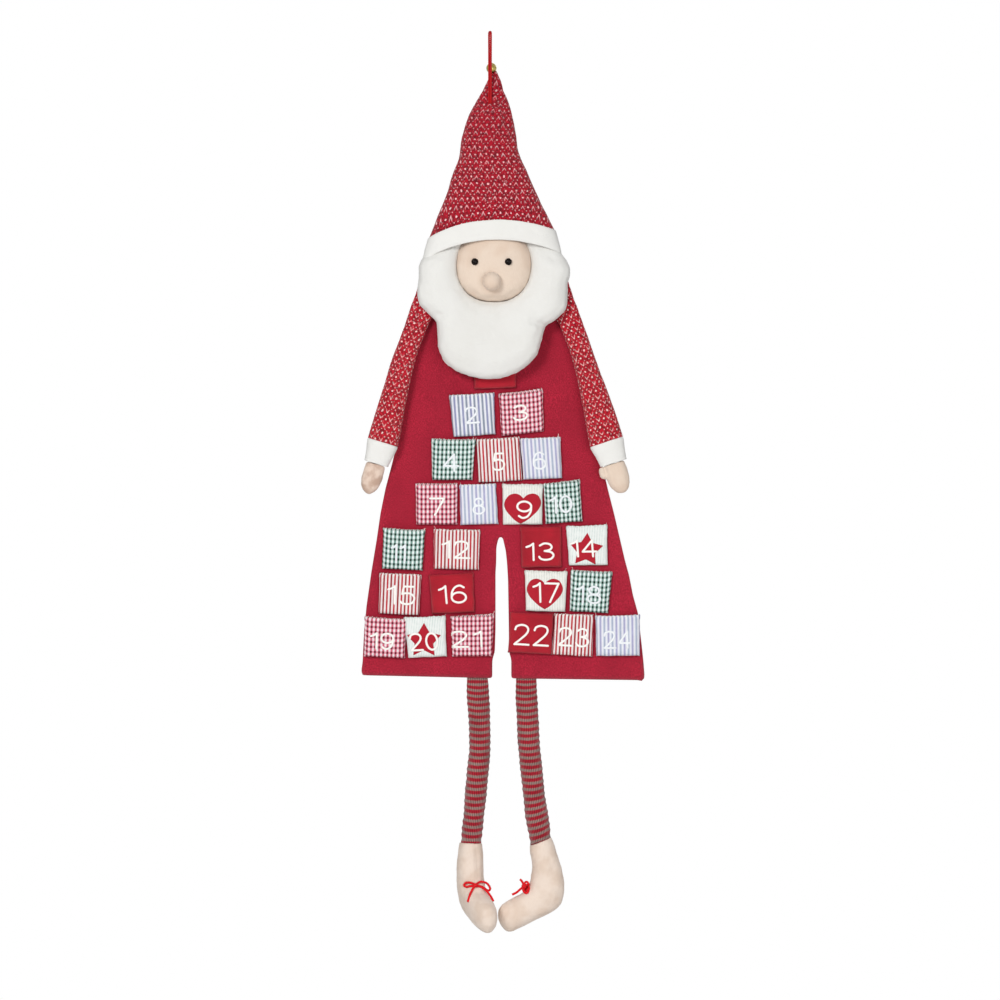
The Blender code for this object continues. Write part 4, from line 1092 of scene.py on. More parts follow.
def make_hat():
    tip_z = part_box("hat")[1].z
    height = tip_z - brim_height()
    shares = end_heavy(120, 0.002, 1.0)
    arch = np.interp(shares, *np.array(brim_follow_shares).T)
    down = -tip_z + shares * height
    low = down + arch * BRIM_ARCH
    left = sections("hat", low + arch * BRIM_TILT - 0.0003)[:, 0]
    right = sections("hat", low - arch * BRIM_TILT - 0.0003)[:, 1]
    table = smoothed(np.column_stack([left, right, sections("hat", down)[:, 2:]]), 5)
    across, through = section_ring(112, 2.5)
    rings = []
    for z, follow, (left, right, back, front) in zip(down, arch, table):
        middle, half = halved(left, right)
        x = middle + (half + BRIM_FLARE * follow**2) * across
        out, deep = halved(back, front)
        drop = follow * (BRIM_ARCH * across**2 - BRIM_TILT * across + corner_drop(across))
        rings.append(np.stack([x, WALL - out - deep * through, -z - drop], axis=1))
    hat = finish_with(tube("hat_cotton", rings), "print_red")

    def folds(place, normal):
        x, y, z = place
        share = (tip_z - z) / height
        soft = eased(share, 0.0, 0.12) * eased(1 - share, -0.02, 0.10)
        swell = 0.0014 * ripple((x, y * 0.6, z * 0.7), 0.03) * soft
        fine = 0.0006 * ripple((x, y, z * 0.5), 0.012, 3.0) * soft
        fine += 0.0009 * ripple((x, y, z * 0.8), 0.009, 6.0) * soft * eased(0.55, share, share + 0.3)
        return swell + fine - crease_at(place, hat_creases) * eased(-normal.y, -0.1, 0.5)

    shift(hat, folds)
    peak_x, peak_z = Vector(spot(*HAT_PEAK))
    for vertex in hat.data.vertices:
        near = hump(vertex.co.x - peak_x, 0.0038)
        vertex.co.z += TIP_LIFT * near * eased(vertex.co.z, peak_z - 0.016, peak_z - 0.003)
    dress(hat, "print_red", "hat", fill=0.5)


def make_band():
    hat_low, hat_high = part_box("hat")
    low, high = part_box("hat_band")
    brim_z = brim_height()
    brim_half = (hat_high.x - hat_low.x) / 2 + BRIM_FLARE
    middle, flare_half = halved(low.x, high.x)
    flare_half += BAND_OUT
    out_middle, deep = halved(WALL - high.y, WALL - low.y)
    band_low = low.z + BRIM_ARCH + BAND_SAG + BRIM_TILT
    across, through = section_ring(140, 2.5)
    rings = []
    for down, out in band_profile:
        half = brim_half + (flare_half - brim_half - BAND_CLOTH) * down + BAND_CLOTH * out * 0.8
        arch = BRIM_ARCH + BAND_SAG * down
        z = brim_z + (band_low - brim_z) * down - arch * across**2 + BRIM_TILT * across - corner_drop(across)
        reach = deep - BAND_CLOTH * (1 - down) * 0.6 + BAND_CLOTH * (out - 1.2) * 0.8
        rings.append(np.stack([middle + half * across, WALL - out_middle - reach * through, z], axis=1))
    band = finish_with(tube("hat_band_cotton", rings, joined=True), "white_cloth")
    shift(band, lambda place, normal: 0.0005 * ripple((place.x, place.y, place.z * 2), 0.02, 5.0) - 0.0002)
    dress(band, "white_cloth", "hat_band")


def make_head():
    head = finish_with(stuffed("head_cloth", "head", 0.0016, 8, 0.0009), "skin_cloth")
    shift(head, lambda place, normal: -crease_at(place, face_creases) * eased(-normal.y, 0.0, 0.5))
    flat_uv(head)
    dress(head, "skin_cloth", "head", fill=0.9)

    low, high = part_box("nose")
    x, z = (low.x + high.x) / 2, (low.z + high.z) / 2
    radius = NOSE_SHARE * (high.z - low.z) / 2
    rings = []
    for reach, out in nose_profile:
        ring = []
        for t in turns(56):
            gather = 1 - 0.018 * (1 - out) * (0.5 + 0.5 * math.cos(t * 14 + 2 * math.sin(t * 3)))
            far = radius * reach * gather
            ring.append((x + far * math.sin(t), low.y + (high.y - low.y) * (1 - out), z + far * math.cos(t)))
        rings.append(ring)
    nose = finish_with(tube("nose_cloth", rings), "skin_cloth")
    dress(nose, "skin_cloth", "nose", fill=1.0)


def make_eye(side):
    low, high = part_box(side + "_eye")
    (x, _, z), radius = (low + high) / 2, (high.x - low.x) / 2
    thick = high.y - low.y
    stations = []
    for i in range(1, 15):
        angle = math.pi / 2 * i / 14
        stations.append((math.sin(angle), 0.35 + 0.65 * math.cos(angle) ** 0.9))
    stations.append((0.9, 0.0))
    rings = [
        [
            (x + radius * reach * math.cos(t), high.y - thick * out, z + radius * reach * math.sin(t))
            for t in turns(40)
        ]
        for reach, out in stations
    ]
    dress(finish_with(tube(side + "_eye_bead", rings), "bead_black"), "bead_black", side + "_eye")


def make_beard():
    beard = finish_with(stuffed("beard_fleece", "beard", 0.0036, 4, 0.0006, 0.0018), "beard_white")
    middle = Vector(spot(*FACE_MIDDLE))

    def grown(place, normal):
        if (place.x - middle.x) * normal.x + (place.z - middle.y) * normal.z > 0:
            low_row, high_row = (310, 296) if normal.x < 0 else (296, 280)
            upper = eased(place.z, up_at(low_row), up_at(high_row))
            return BEARD_GROWTH * abs(normal.x) * (0.35 + 0.65 * upper) + BEARD_DROP * abs(normal.z)
        return CHIN_RISE * max(normal.z, 0)

    def folds(place, normal):
        front = eased(-normal.y, -0.2, 0.5)
        return 0.0010 * ripple(place, 0.035, 2.0) * front - crease_at(place, beard_creases) * front

    shift(beard, grown)
    shift(beard, folds)
    flat_uv(beard)
    dress(beard, "beard_white", "beard", fill=0.8)


# Body


def outline_of(node):
    """The outline of a flat CAD sheet's front, as x and z."""
    bm = bmesh.new()
    bm.from_mesh(nodes[node].data)
    bmesh.ops.remove_doubles(bm, verts=bm.verts, dist=1e-5)
    faces = [face for face in bm.faces if face.normal.y < -0.9]
    front = set(faces)
    after = {}
    for face in faces:
        for loop in face.loops:
            if sum(other in front for other in loop.edge.link_faces) == 1:
                after[loop.vert] = loop.link_loop_next.vert
    chain = [next(iter(after))]
    while after[chain[-1]] != chain[0]:
        chain.append(after[chain[-1]])
    points = [Vector((vertex.co.x, vertex.co.z)) for vertex in chain]
    bm.free()
    return points


def soft_outline(points, step, rounds):
    """The outline in even steps with its corners rounded off."""
    line = even_line([*points, points[0]], step)[:-1]
    for _ in range(rounds):
        before, after = line[-1:] + line[:-1], line[1:] + line[:1]
        line = [a * 0.25 + b * 0.5 + c * 0.25 for a, b, c in zip(before, line, after)]
    return line


def edge_distance(points, outline):
    """How far each point lies from the outline."""
    a = np.array(outline)
    best = np.full(len(points), 1e9)
    for start, end in zip(a, np.roll(a, -1, axis=0)):
        along = end - start
        t = np.clip(((points - start) @ along) / (along @ along), 0, 1)
        best = np.minimum(best, np.linalg.norm(points - start - t[:, None] * along, axis=1))
    return best


def fill_outline(outline, spacing, insets):
    """Triangles inside an outline, finer near its edge, with each point's distance from the edge."""
    edge = np.array(outline)
    after = np.roll(edge, -1, axis=0)
    ahead = after - np.roll(edge, 1, axis=0)
    normal = np.stack([-ahead[:, 1], ahead[:, 0]], axis=1) / np.linalg.norm(ahead, axis=1)[:, None]
    normal *= 1 if np.sum(edge[:, 0] * after[:, 1] - after[:, 0] * edge[:, 1]) > 0 else -1
    inner = []
    for inset in insets:
        moved = edge + normal * inset
        inner.append(moved[edge_distance(moved, outline) > inset * 0.93])
    low, high = edge.min(axis=0), edge.max(axis=0)
    grid = np.array([
        (x + (row % 2) * spacing / 2, z)
        for row, z in enumerate(np.arange(low[1], high[1], spacing * 0.87))
        for x in np.arange(low[0], high[0], spacing)
    ])
    keep = edge_distance(grid, outline) > insets[-1] + spacing * 0.5
    points = [Vector(p) for p in np.concatenate([edge, *inner, grid[keep]])]
    found = geometry.delaunay_2d_cdt(points, [], [list(range(len(edge)))], 1, 1e-7)
    flat = np.array([tuple(p) for p in found[0]])
    return flat, [list(face) for face in found[2]], edge_distance(flat, outline)


def front_uvs(points, faces):
    return [(points[i].x, points[i].z) for face in faces for i in face]


def sheet_from(name, flat, faces, top, bottom):
    """A closed sheet of felt between two surfaces over the same triangles."""
    count = len(flat)
    points = [at(x, out, z) for side in (top, bottom) for (x, z), out in zip(flat, side)]
    sides = [pair for face in faces for pair in zip(face, face[1:] + face[:1])]
    known = set(sides)
    all_faces = [tuple(face) for face in faces]
    all_faces += [tuple(i + count for i in reversed(face)) for face in faces]
    all_faces += [(b, a, a + count, b + count) for a, b in sides if (b, a) not in known]
    return face_outward(mesh_object(name, points, all_faces, front_uvs(points, all_faces)))


def sharpen(outline, corner):
    """Draws an outline's rounded corner out to a sharper one."""
    for p in outline:
        rel = p - corner
        far = rel.length / CORNER_REACH
        if far < 1:
            pull = 0.12 + 0.88 * far**1.5
            rel = Vector((rel.x * pull, rel.y)) if abs(rel.x) < abs(rel.y) else Vector((rel.x, rel.y * pull))
            p.x, p.y = corner + rel


def body_outline(low):
    """The felt body's outline: its slanted hem, its bulge under the sleeve and its slot."""
    sleeve_low, sleeve_high, top_low, top_high = (up_at(row) for row in (418, 335, 566, 542))
    outline = soft_outline(outline_of("body_front"), FELT_STEP, 1)
    for p in outline:
        p.y -= HEM_SLOPE * (p.x - SLOT_X) * eased(p.y, low.z + 0.04, low.z)
        if p.x < SLOT_X - 0.06:
            above = eased(p.y, sleeve_low, sleeve_low + 0.03)
            p.x -= UNDER_SLEEVE * above * eased(sleeve_high, p.y, p.y + 0.02)
        if p.x < low.x + 0.03:
            p.x -= HEM_FLARE * eased(p.y, low.z + 0.028, low.z)
        if abs(p.x - SLOT_X) < 0.012:
            near_top = eased(p.y, top_low, top_high)
            p.x -= SLOT_TOP_SHIFT * near_top
            p.y += SLOT_TOP_RISE * near_top
        if abs(p.x - SLOT_X) < 0.018:
            p.x += math.copysign(SLOT_OPENING, p.x - SLOT_X) * eased(p.y, low.z + 0.040, low.z + 0.024)
    for corner in hem_corners:
        sharpen(outline, Vector(spot(*corner)))
    return outline


def make_body():
    low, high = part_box("body_front")
    flat, faces, inside = fill_outline(body_outline(low), FELT_GRID, FELT_INSETS)
    front_out = WALL - low.y - FRONT_EDGE_OUT
    hem_line = low.z + HEM_LINE
    layers = []
    for (x, z), far in zip(flat, inside):
        rise = math.sin(math.pi / 2 * min(far / EDGE_ROUND, 1.0)) ** 0.8
        wave = ripple((x, 0, z), 0.05, 1.0)
        inner = eased(far, 0.0, 0.004)
        fold = HEM_FOLD * hump(z - hem_line, 0.0022) * inner
        fold -= HEM_RISE * eased(hem_line, z - 0.0006, z + 0.0022) * inner
        out = FRONT_EDGE_OUT + front_out * rise - (0.0003 - 0.0003 * wave) * rise - fold
        dent = DENT * (0.5 - 0.5 * ripple((x, 0, z * 0.4), 0.035, 21.0))
        out -= dent * rise * eased(z, up_at(402), up_at(384))
        lower = BACK_EDGE_OUT * (1 - rise) + (0.00025 - 0.00025 * wave) * rise
        layers.append((out, out - FELT, lower + FELT, lower))
    front, under, over, back = zip(*layers)
    a, b, c = np.moveaxis(flat[[face[:3] for face in faces]], 1, 0)
    b, c = b - a, c - a
    for name, top, bottom, replaced in (
        ("front", front, under, ("body_front", "body_wadding")), ("back", over, back, ("body_back",)),
    ):
        felt = finish_with(sheet_from(f"body_{name}_felt", flat, faces, top, bottom), "felt_red")
        dress(felt, "felt_red", *replaced)


# Pockets


class Pocket:
    """A pocket's cloth, over its CAD pouch: across from -1 to 1 and up from 0 to 1."""

    def __init__(self, day):
        self.day = day
        self.name = f"pocket_{day:02d}"
        points = coords(nodes[self.name].data)
        flat = points[points[:, 1] > points[:, 1].max() - 0.0002][:, (0, 2)]
        plus, minus = flat[:, 0] + flat[:, 1], flat[:, 0] - flat[:, 1]
        ends = (minus.argmin(), plus.argmax(), minus.argmax(), plus.argmin())
        corners = [Vector(flat[i]) for i in ends]
        nudges = iter(corner_nudges.get(day, ()))
        for corner, x, z in zip(corners, nudges, nudges):
            corner += Vector((x, -z)) * PIXEL
        self.top_left, self.top_right, self.low_right, self.low_left = corners
        foot, side = self.low_right - self.low_left, self.top_left - self.low_left
        self.right, self.wide = foot.normalized(), foot.length
        self.up, self.high = side.normalized(), side.length
        self.random = random.Random(day)
        self.puff = POCKET_PUFF * self.random.uniform(0.84, 1.0)

    def flat(self, across, up):
        """Where a share of the pocket lies, seen from the front."""
        t = (across + 1) / 2
        return self.low_left.lerp(self.low_right, t).lerp(self.top_left.lerp(self.top_right, t), up)

    def shares(self, x, z):
        """The pocket's own place of a point seen from the front."""
        across, up = 0.0, 0.5
        for _ in range(4):
            left = Vector((x, z)) - self.flat(across, up)
            across += left.dot(self.right) / (self.wide / 2)
            up += left.dot(self.up) / self.high
        return across, up

    def lift(self, across, up):
        """How far the cloth stands off the felt."""
        side = max(1 - min(abs(across), 1.0) ** 9, 0.0) ** 0.5
        bottom = math.sqrt(max(1 - (1 - min(max(up, 0.0) / 0.13, 1)) ** 2, 0.0))
        top = 1 - 0.22 * eased(up, 0.35, 1.0)
        sag = 1 + 0.10 * math.cos(across * math.pi / 2) * (1 - abs(2 * up - 0.8))
        seed = self.day * 3.1
        soft = side * bottom
        x, z = across * self.wide / 2, up * self.high
        folds = 0.0007 * ripple((x, 0, z), 0.017, seed) + 0.00035 * ripple((x, 0, z * 0.6), 0.007, seed)
        pull = 0.0007 * hump(abs(across) - up + 0.12, 0.10) * eased(up, 0.62, 0.95)
        hem_line = 1 - POCKET_HEM / self.high
        hem = 0.0003 * eased(up, hem_line, hem_line + 0.02) - 0.0004 * hump(up - hem_line, 0.014)
        return self.puff * soft * top * min(sag, 1.06) + (folds - pull + hem) * soft

    def point(self, across, up, above=0.0):
        """A point on the cloth, or a little above it."""
        seed = self.day * 5.3
        x, mouth = across * self.wide / 2, eased(up, 0.6, 1.0)
        past = max(abs(across) - SEAM_SHARE, 0) / (1 - SEAM_SHARE)
        side = math.copysign(min(abs(across) / SEAM_SHARE, 1) - SEAM_TUCK / self.wide * 2 * past**2, across)
        rise_up = max(up - 0.03, 0) / 0.97 + SEAM_TUCK / self.high * (max(0.03 - up, 0) / 0.03) ** 2
        shake = 0.0006 * ripple((across * 0.03, 0, up * self.high), 0.012, seed) * abs(across) ** 3
        rise = 0.0007 * ripple((x, 0, 0), 0.011, seed + 9) * mouth
        rise += 0.0006 * (across**2 - 0.4) * mouth
        rise += 0.0004 * math.cos(math.tau * across * self.wide / 2 / 0.0058) * eased(up, 0.9, 1.0)
        low = 0.0005 * ripple((x, 0, 0), 0.014, seed + 4) * (1 - eased(up, 0.0, 0.4))
        flat = self.flat(side, rise_up) + self.right * shake + self.up * (rise + low)
        return at(flat.x, POCKET_SEAT + self.lift(across, up) + above, flat.y)

    def raised(self, x, z, above):
        """A point above the cloth along its own normal, from its place seen from the front."""
        step = 0.02
        across, up = self.shares(x, z)
        slope = self.point(across + step, up) - self.point(across - step, up)
        climb = self.point(across, up + step) - self.point(across, up - step)
        normal = slope.cross(climb).normalized()
        if normal.y > 0:
            normal = -normal
        return self.point(across, up) + normal * above


def make_pocket(day):
    cloth_name, box = days[day]
    pocket = Pocket(day)
    columns = np.sin(np.linspace(-1, 1, 35) * math.pi / 2)
    rows = [*end_heavy(8, 0, 0.13)[:-1], *np.linspace(0.13, 0.84, 16)[:-1], *np.linspace(0.84, 1, 9)]
    grid = [[pocket.point(a, b) for a in columns] for b in rows]
    for up, behind in ((0.985, 0.0010), (0.90, 0.0013)):
        grid.append([pocket.point(a * 0.985, up) + Vector((0, behind, 0)) for a in columns])
    wide, middle = len(columns), len(columns) // 2
    u = np.zeros((len(grid), wide))
    v = np.zeros((len(grid), wide))
    for r, row in enumerate(grid):
        for i in range(1, wide):
            u[r, i] = u[r, i - 1] + (row[i] - row[i - 1]).length
        u[r] -= u[r, middle]
        if r:
            v[r] = v[r - 1] + [(a - b).length for a, b in zip(row, grid[r - 1])]
    offset = pocket.random.uniform(-0.5, 0.5) * STRIPE
    faces, uvs = [], []
    for r in range(len(grid) - 1):
        for i in range(wide - 1):
            corners = ((r, i), (r, i + 1), (r + 1, i + 1), (r + 1, i))
            faces.append(tuple(a * wide + b for a, b in corners))
            uvs += [(u[corner] + offset, v[corner]) for corner in corners]
    cloth = mesh_object(pocket.name + "_cloth", [p for row in grid for p in row], faces, uvs)
    # A darker copy of a cloth, which paints shade, counts as the cloth it copies
    slot = cloth_name.removeprefix("deep_")
    dress(finish_with(thicken(cloth, POCKET_CLOTH), cloth_name), slot, pocket.name)
    if day in hearts:
        make_heart(pocket, *hearts[day])
    if day in stars:
        make_star(pocket, *stars[day])
    if box:
        make_numeral(pocket, *box)
    make_hem_stitches(pocket, cloth_name, slot)


def stroke_rings(pocket, line, half, base):
    """Sections of a raised stroke along a line on a pocket, rounded at both ends."""
    caps = []
    bends = [math.radians(angle) for angle in (28, 55, 80)]
    for end, inner in ((line[0], line[1]), (line[-1], line[-2])):
        away = (end - inner).normalized() * half
        caps.append([(end + away * math.sin(bend), math.cos(bend)) for bend in bends])
    stations = [*reversed(caps[0]), *[(place, 1.0) for place in line], *caps[1]]
    rings = []
    for k, (place, reach) in enumerate(stations):
        before, after = stations[max(k - 1, 0)][0], stations[min(k + 1, len(stations) - 1)][0]
        ahead = (after - before).normalized()
        side = Vector((-ahead.y, ahead.x))
        ring = []
        for across, lift in stroke_profile:
            flat = place + side * (across * half * max(reach, 0.1))
            ring.append(pocket.raised(flat.x, flat.y, base + NUMERAL_RISE * lift * (0.4 + 0.6 * reach)))
        rings.append(ring)
    return rings


def make_numeral(pocket, *box):
    (left, top), (right, bottom) = spot(*box[:2]), spot(*box[2:])
    label = str(pocket.day)
    wide, high = right - left - NUMERAL_STROKE, top - bottom - NUMERAL_STROKE
    stretch = wide / (sum(digits[c][0] for c in label) + DIGIT_GAP * (len(label) - 1))
    centre = Vector(((left + right) / 2, (top + bottom) / 2))
    base = APPLIQUE_RISE if pocket.day in hearts or pocket.day in stars else 0.0
    parts, x = [], 0.0
    for c in label:
        digit_wide, strokes = digits[c]
        for stroke in strokes:
            trace = smooth_line
            if stroke[0] == "ring":
                _, cx, cz, rx, rz = stroke
                angles = np.linspace(0, math.tau, 41)
                stroke = [(cx + rx * math.sin(t), cz + rz * math.cos(t)) for t in angles]
                trace = even_line
            flat = []
            for p in map(Vector, stroke):
                rel = Vector(((x + p.x) * stretch - wide / 2, p.y * high - high / 2))
                flat.append(centre + pocket.right * rel.x + pocket.up * rel.y)
            parts.append(tube("stroke", stroke_rings(pocket, trace(flat, 0.0013), NUMERAL_STROKE / 2, base)))
        x += digit_wide + DIGIT_GAP
    cool = days[pocket.day][0] in ("blue_stripe", "deep_blue_stripe", "green_gingham")
    numeral = join_meshes(pocket.name + "_numeral", parts)
    dress(finish_with(numeral, "cool_numeral" if cool else "numeral"), "white_cloth")


def laid_shape(pocket, name, outline):
    """A thin cut-out shape sewn flat on a pocket."""
    flat, faces, inside = fill_outline(soft_outline(outline, 0.0014, 0), 0.0022, (0.0008,))
    above = [0.0002 + 0.0003 * eased(far, 0.0, 0.001) for far in inside]
    points = [pocket.raised(x, z, rise) for (x, z), rise in zip(flat, above)]
    shape = mesh_object(f"{pocket.name}_{name}", points, faces, front_uvs(points, faces))
    if sum(polygon.normal.y for polygon in shape.data.polygons) > 0:
        shape.data.flip_normals()
    dress(finish_with(thicken(shape, 0.0004), "red_applique"), "plain_red")


def make_heart(pocket, left, top, right, bottom, lean):
    (left, top), (right, bottom) = spot(left, top), spot(right, bottom)
    half = smooth_line([(x, z, 0) for x, z in heart_half], 0.03)
    outline = []
    for x, z in [(p.x, p.y) for p in half] + [(1 - p.x, p.y) for p in reversed(half[1:-1])]:
        leaned = x + lean * (1 - z)
        outline.append(Vector((left + (right - left) * leaned, bottom + (top - bottom) * z)))
    laid_shape(pocket, "heart", outline)


def make_star(pocket, column, row, radius, turn):
    centre = Vector(spot(column, row))
    outline = []
    for i in range(10):
        angle = math.radians(90 + turn + 36 * i)
        reach = radius * PIXEL * (1.0 if i % 2 == 0 else 0.54)
        outline.append(centre + Vector((math.cos(angle), math.sin(angle))) * reach)
    laid_shape(pocket, "star", outline)


def make_hem_stitches(pocket, cloth_name, slot):
    """Overlocked thread along the pocket's mouth and a few loose ends."""
    threads = []
    count = round(pocket.wide * 0.96 / STITCH_PITCH)
    step = 1.92 / count
    for k in range(count):
        across = -0.96 + 1.92 * (k + 0.5) / count
        line = []
        for lean, up, above in ((-0.45, 0.955, 0.0001), (-0.1, 0.985, 0.0003), (0.25, 1.0, 0.0002)):
            line.append(pocket.point(across + lean * step, up, above))
        line[-1].z += 0.0004
        line.append(pocket.point(across + 0.35 * step, 0.995) + Vector((0, 0.0011, 0.0002)))
        threads.append(rope("thread", smooth_line(line, 0.0009), 0.00055, 2, 3.0, 6, 0.1))
    draw = pocket.random
    for _ in range(draw.choice((0, 1, 1, 2))):
        across = draw.choice((-0.94, 0.94)) * draw.uniform(0.9, 1.0)
        root = pocket.point(across, 0.985, 0.0002)
        lean = math.copysign(draw.uniform(0.0, 0.003), across)
        rise = draw.uniform(0.003, 0.0065)
        line = [root, root + Vector((lean * 0.3, -0.0004, rise * 0.5)), root + Vector((lean, -0.0002, rise))]
        threads.append(rope("thread", smooth_line(line, 0.0006), 0.0004, 2, 3.0, 6, 0.1))
    thread_finish = cloth_name if cloth_name in ("plain_red", "cream_heart", "cream_star") else "numeral"
    dress(finish_with(join_meshes(pocket.name + "_stitching", threads), thread_finish), slot)


# Arms


def joint_place(name):
    return Vector(next(joint["pos_m"] for joint in frame["joints"] if joint["name"] == name))


def make_arm(side):
    body = side + "_arm"
    sign = -1 if side == "left" else 1
    c, s = math.cos(ARM_ANGLE[side]), math.sin(ARM_ANGLE[side])
    along, outward = Vector((sign * s, 0, -c)), Vector((sign * c, 0, s))
    start = joint_place(side + "_shoulder")
    start.y = WALL

    def section(down, low, high, back, front, sides, reach=1.0):
        """A ring round the arm, between its sides and between its back and front."""
        middle, half = halved(low, high)
        out, deep = halved(back, front)
        points = []
        for a, t in zip(*section_ring(sides, 2.3)):
            place = start + along * down + outward * (middle + half * reach * a)
            points.append((place.x, WALL - out - deep * reach * t, place.z))
        return points

    low, high = span(side + "_sleeve", start, along)
    stations = end_heavy(90, low + 0.0002, high - 0.0002)
    table = smoothed(sections(side + "_sleeve", stations, start, along, outward), 4)
    rings = []
    for down, (left, right, back, front) in zip(stations, table):
        right += SLEEVE_SWELL + SHOULDER_SWELL * hump(down + 0.006, 0.014)
        right += ARM_BULGE[side] * hump(down - 0.118, 0.030)
        lowered = down - SHOULDER_REACH * eased(low + 0.05, down, down + 0.05)
        rings.append(section(lowered, left - SLEEVE_SWELL, right, back, front, 84))
    # The sleeve takes the brighter copy of the print, whose ground is painted light
    sleeve = finish_with(tube(side + "_sleeve_cotton", rings), "sleeve_print")

    def folds(place, normal):
        down, aside = (place - start).dot(along), (place - start).dot(outward)
        seed = 4.0 if side == "left" else 8.0
        wrinkle = 0.0011 * ripple((aside * 0.5, place.y * 0.5, down), 0.013, seed)
        wrinkle *= 0.25 + 0.55 * (1 - eased(down, 0.0, 0.10)) + 0.35 * eased(down, 0.14, 0.225)
        return wrinkle + 0.0008 * ripple((aside, place.y, down * 0.5), 0.03) - 0.0003

    shift(sleeve, folds)
    blend = ("body", body, start, start + along * BLEND_REACH)
    dress(sleeve, "print_red", side + "_sleeve", fill=0.6, blend=blend)

    low, high = span(side + "_cuff", start, along)
    top, bottom = sections(side + "_cuff", (low + 0.0005, high - 0.0005), start, along, outward)
    rings = []
    for share, reach in cuff_profile:
        row = top + (bottom - top) * min(max(share, 0), 1)
        rings.append(section(low + share * (high - low), *row, 88, reach))
    cuff = finish_with(tube(side + "_cuff_cotton", rings), "white_cloth")
    shift(cuff, lambda place, normal: 0.0005 * ripple(place, 0.016, 6.0) - 0.0002)
    dress(cuff, "white_cloth", side + "_cuff", fill=0.6, body=body)

    # The left hand takes the browner copy of the skin cloth, whose brown patches are painted shade
    skin = "left_hand_cloth" if side == "left" else "skin_cloth"
    hand = finish_with(stuffed(side + "_hand_cloth", side + "_hand", 0.0020, 3, 0.0, 0.0010), skin)
    flat_uv(hand)

    def hand_folds(place, normal):
        seam = 0.0005 * hump(WALL - place.y - HAND_SEAM_OUT, 0.0009)
        front = crease_at(place, hand_creases[side]) * eased(-normal.y, 0.0, 0.5)
        return 0.0007 * ripple(place, 0.009, 7.0) - seam - front

    shift(hand, hand_folds)
    dress(hand, "skin_cloth", side + "_hand", fill=0.8, body=body)


# Legs, feet and bows


def make_leg(side):
    node = side + "_leg"
    low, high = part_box(node)
    stations = np.linspace(-high.z + 0.0003, -low.z - 0.0003, 216)
    across, through = section_ring(80, 2.15)
    length = stations[-1] - stations[0]
    seed = 11.0 if side == "left" else 17.0
    rings = []
    for down, (left, right, back, front) in zip(stations, smoothed(sections(node, stations), 6)):
        run = down - stations[0]
        below_top = eased(run, 0.0, 0.02)
        swell = LEG_SWELL + 0.0004 * math.cos(math.tau * run / STRIPE_PITCH) * below_top
        bulge = 0.0006 * ripple((0, 0, down), 0.03, seed)
        (middle, half), (out, deep) = halved(left, right), halved(back, front)
        half = half + swell + bulge
        bow = STRIPE_BOW * (across**2 - 0.5) * eased(run, 0.0, 0.012) * eased(length - run, 0.0, 0.012)
        tilt = half * across * ANKLE_SLOPE[side] * (0.12 + 0.88 * eased(run, 0.55 * length, length))
        drop = (ANKLE_DROP[side] + 0.0003) * eased(run, 0.8 * length, length)
        rings.append(np.stack([
            middle + half * across, WALL - out - (deep + swell + bulge * 0.7) * through,
            -down + bow + tilt * below_top - drop,
        ], axis=1))
    rings.insert(0, rings[0] + np.array([0, -0.0012, LEG_TUCK]))
    leg = finish_with(tube(side + "_leg_knit", rings), "stripe_knit")
    shift(leg, lambda p, normal: 0.0004 * ripple((p.x, p.y, p.z * 1.6), 0.012, seed) - 0.0002)
    hip = joint_place(side + "_hip")
    dress(leg, "stripe_knit", node, fill=0.7, blend=("body", node, hip, hip - Vector((0, 0, BLEND_REACH))))


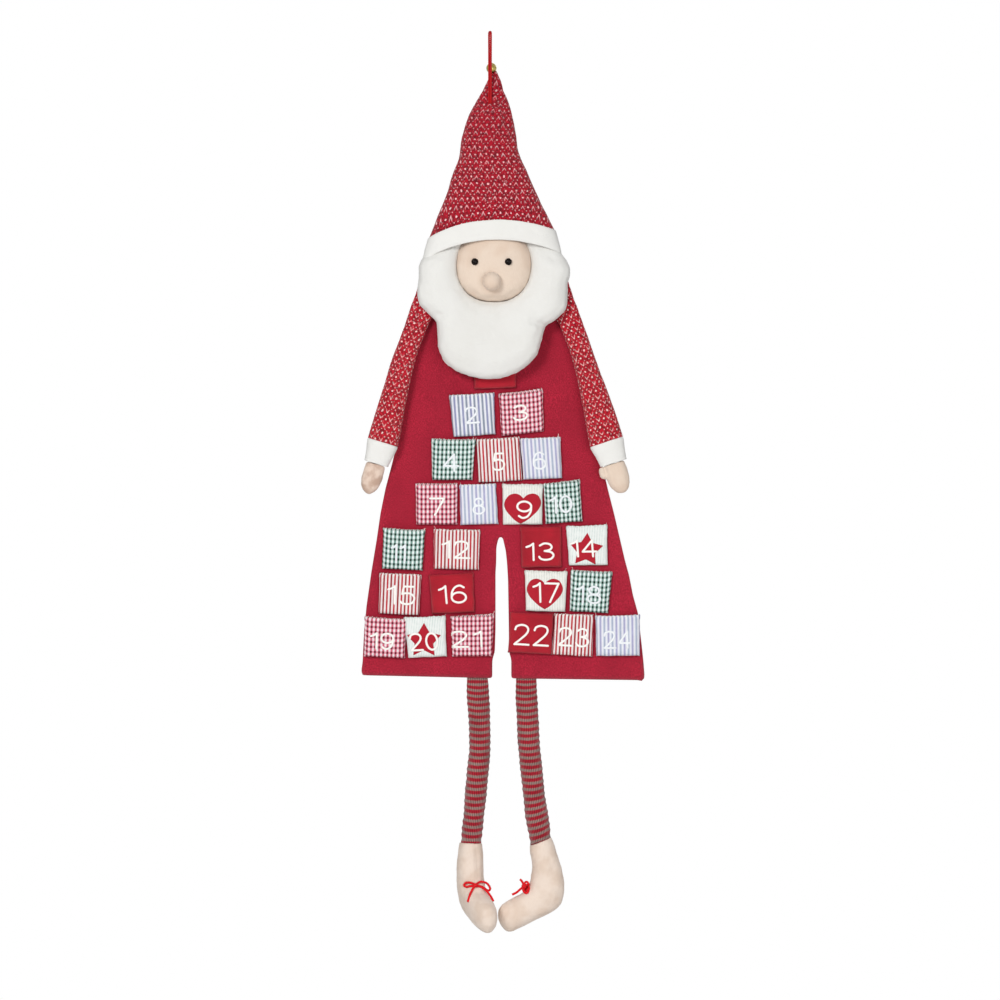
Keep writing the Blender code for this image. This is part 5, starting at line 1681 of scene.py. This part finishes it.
def make_foot(side):
    foot = stuffed(side + "_foot_cloth", side + "_foot", 0.0034, 3, 0.0016, 0.0014)
    finish_with(foot, "foot_cloth")
    ankle = joint_place(side + "_ankle")
    yaw = FOOT_YAW[side]
    aside = Vector((-math.sin(yaw), math.cos(yaw), 0))

    def folds(place, normal):
        x, y, z = place
        rel = place - ankle
        seam = 0.0007 * hump(abs(rel.dot(aside)), 0.0009) * (1 - abs(normal.dot(aside)))
        wrinkle = 0.0008 * ripple((x, y, z * 1.4), 0.018, 13.0)
        ankle_fold = 0.0008 * ripple((x * 0.6, y * 0.6, z), 0.008, 15.0) * hump(-rel.z - 0.062, 0.02)
        front = crease_at(place, foot_creases[side]) * eased(-normal.y, 0.0, 0.5)
        return wrinkle * 0.7 + ankle_fold - seam - front

    shift(foot, folds)
    for vertex in foot.data.vertices:
        rel = vertex.co - ankle
        lean = rel.x * ANKLE_SLOPE[side]
        raised = vertex.co.z + lean * eased(-rel.z, 0.03, 0.0) + FOOT_RISE * eased(-rel.z, 0.014, 0.002)
        vertex.co.z = min(raised, ankle.z + lean - ANKLE_DROP[side])
        vertex.co.x -= ANKLE_TAPER[side] * eased(rel.x, 0.0, 0.012) * eased(-rel.z, 0.04, 0.0)
    flat_uv(foot)
    blend = (side + "_leg", side + "_foot", ankle, ankle - Vector((0, 0, BLEND_REACH)))
    dress(foot, "skin_cloth", side + "_foot", fill=0.8, blend=blend)
    return foot


def make_bow(side, foot):
    """A tied cord lying on the foot."""
    mesh = foot.data
    surface = BVHTree.FromPolygons([v.co for v in mesh.vertices], [p.vertices for p in mesh.polygons])
    centre = Vector(spot(*bow_knot[side]))
    ankle_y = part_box(side + "_leg")[0].y

    def laid(points, lift):
        line = []
        for x, z in points:
            place = Vector((centre.x + x * BOW_WIDTH, RAY_START, centre.y + z * BOW_WIDTH))
            hit = surface.ray_cast(place, Vector((0, 1, 0)))[0]
            if hit is None:
                place.y = line[-1].y if line else ankle_y
                hit = surface.find_nearest(place)[0]
            place.y = hit.y - lift
            line.append(place)
        return line

    lines = [
        laid(points, BOW_CORD * (0.55 + 0.25 * (number % 2)))
        for number, points in enumerate(bow_strands[side])
    ]
    knot = laid([(0.0, 0.0)], BOW_CORD * 1.1)[0]
    out = Vector((0, -1, 0))
    for turn in range(3):
        angle = 0.5 + 2.1 * turn
        tilt = Vector((math.cos(angle), 0.0, math.sin(angle)))
        aside = tilt.cross(out) * (0.0004 * turn)
        lines.append([
            knot + tilt * (0.0019 * math.cos(t)) + out * (0.0016 * math.sin(t)) + aside
            for t in np.linspace(0, math.tau, 13)
        ])
    parts = [rope("strand", smooth_line(line, 0.0005), BOW_CORD, 3, 3.0, 14, 0.16) for line in lines]
    bow = finish_with(join_meshes(side + "_bow_cord", parts), "bow_red")
    dress(bow, "cord_red", side + "_bow", body=side + "_foot")


def main():
    for make in (make_studio, make_floor, make_cord, make_bell, make_hat, make_band, make_head):
        make()
    for side in ("left", "right"):
        make_eye(side)
    make_beard()
    make_body()
    for day in days:
        make_pocket(day)
    for side in ("left", "right"):
        make_arm(side)
        make_leg(side)
        make_bow(side, make_foot(side))


main()
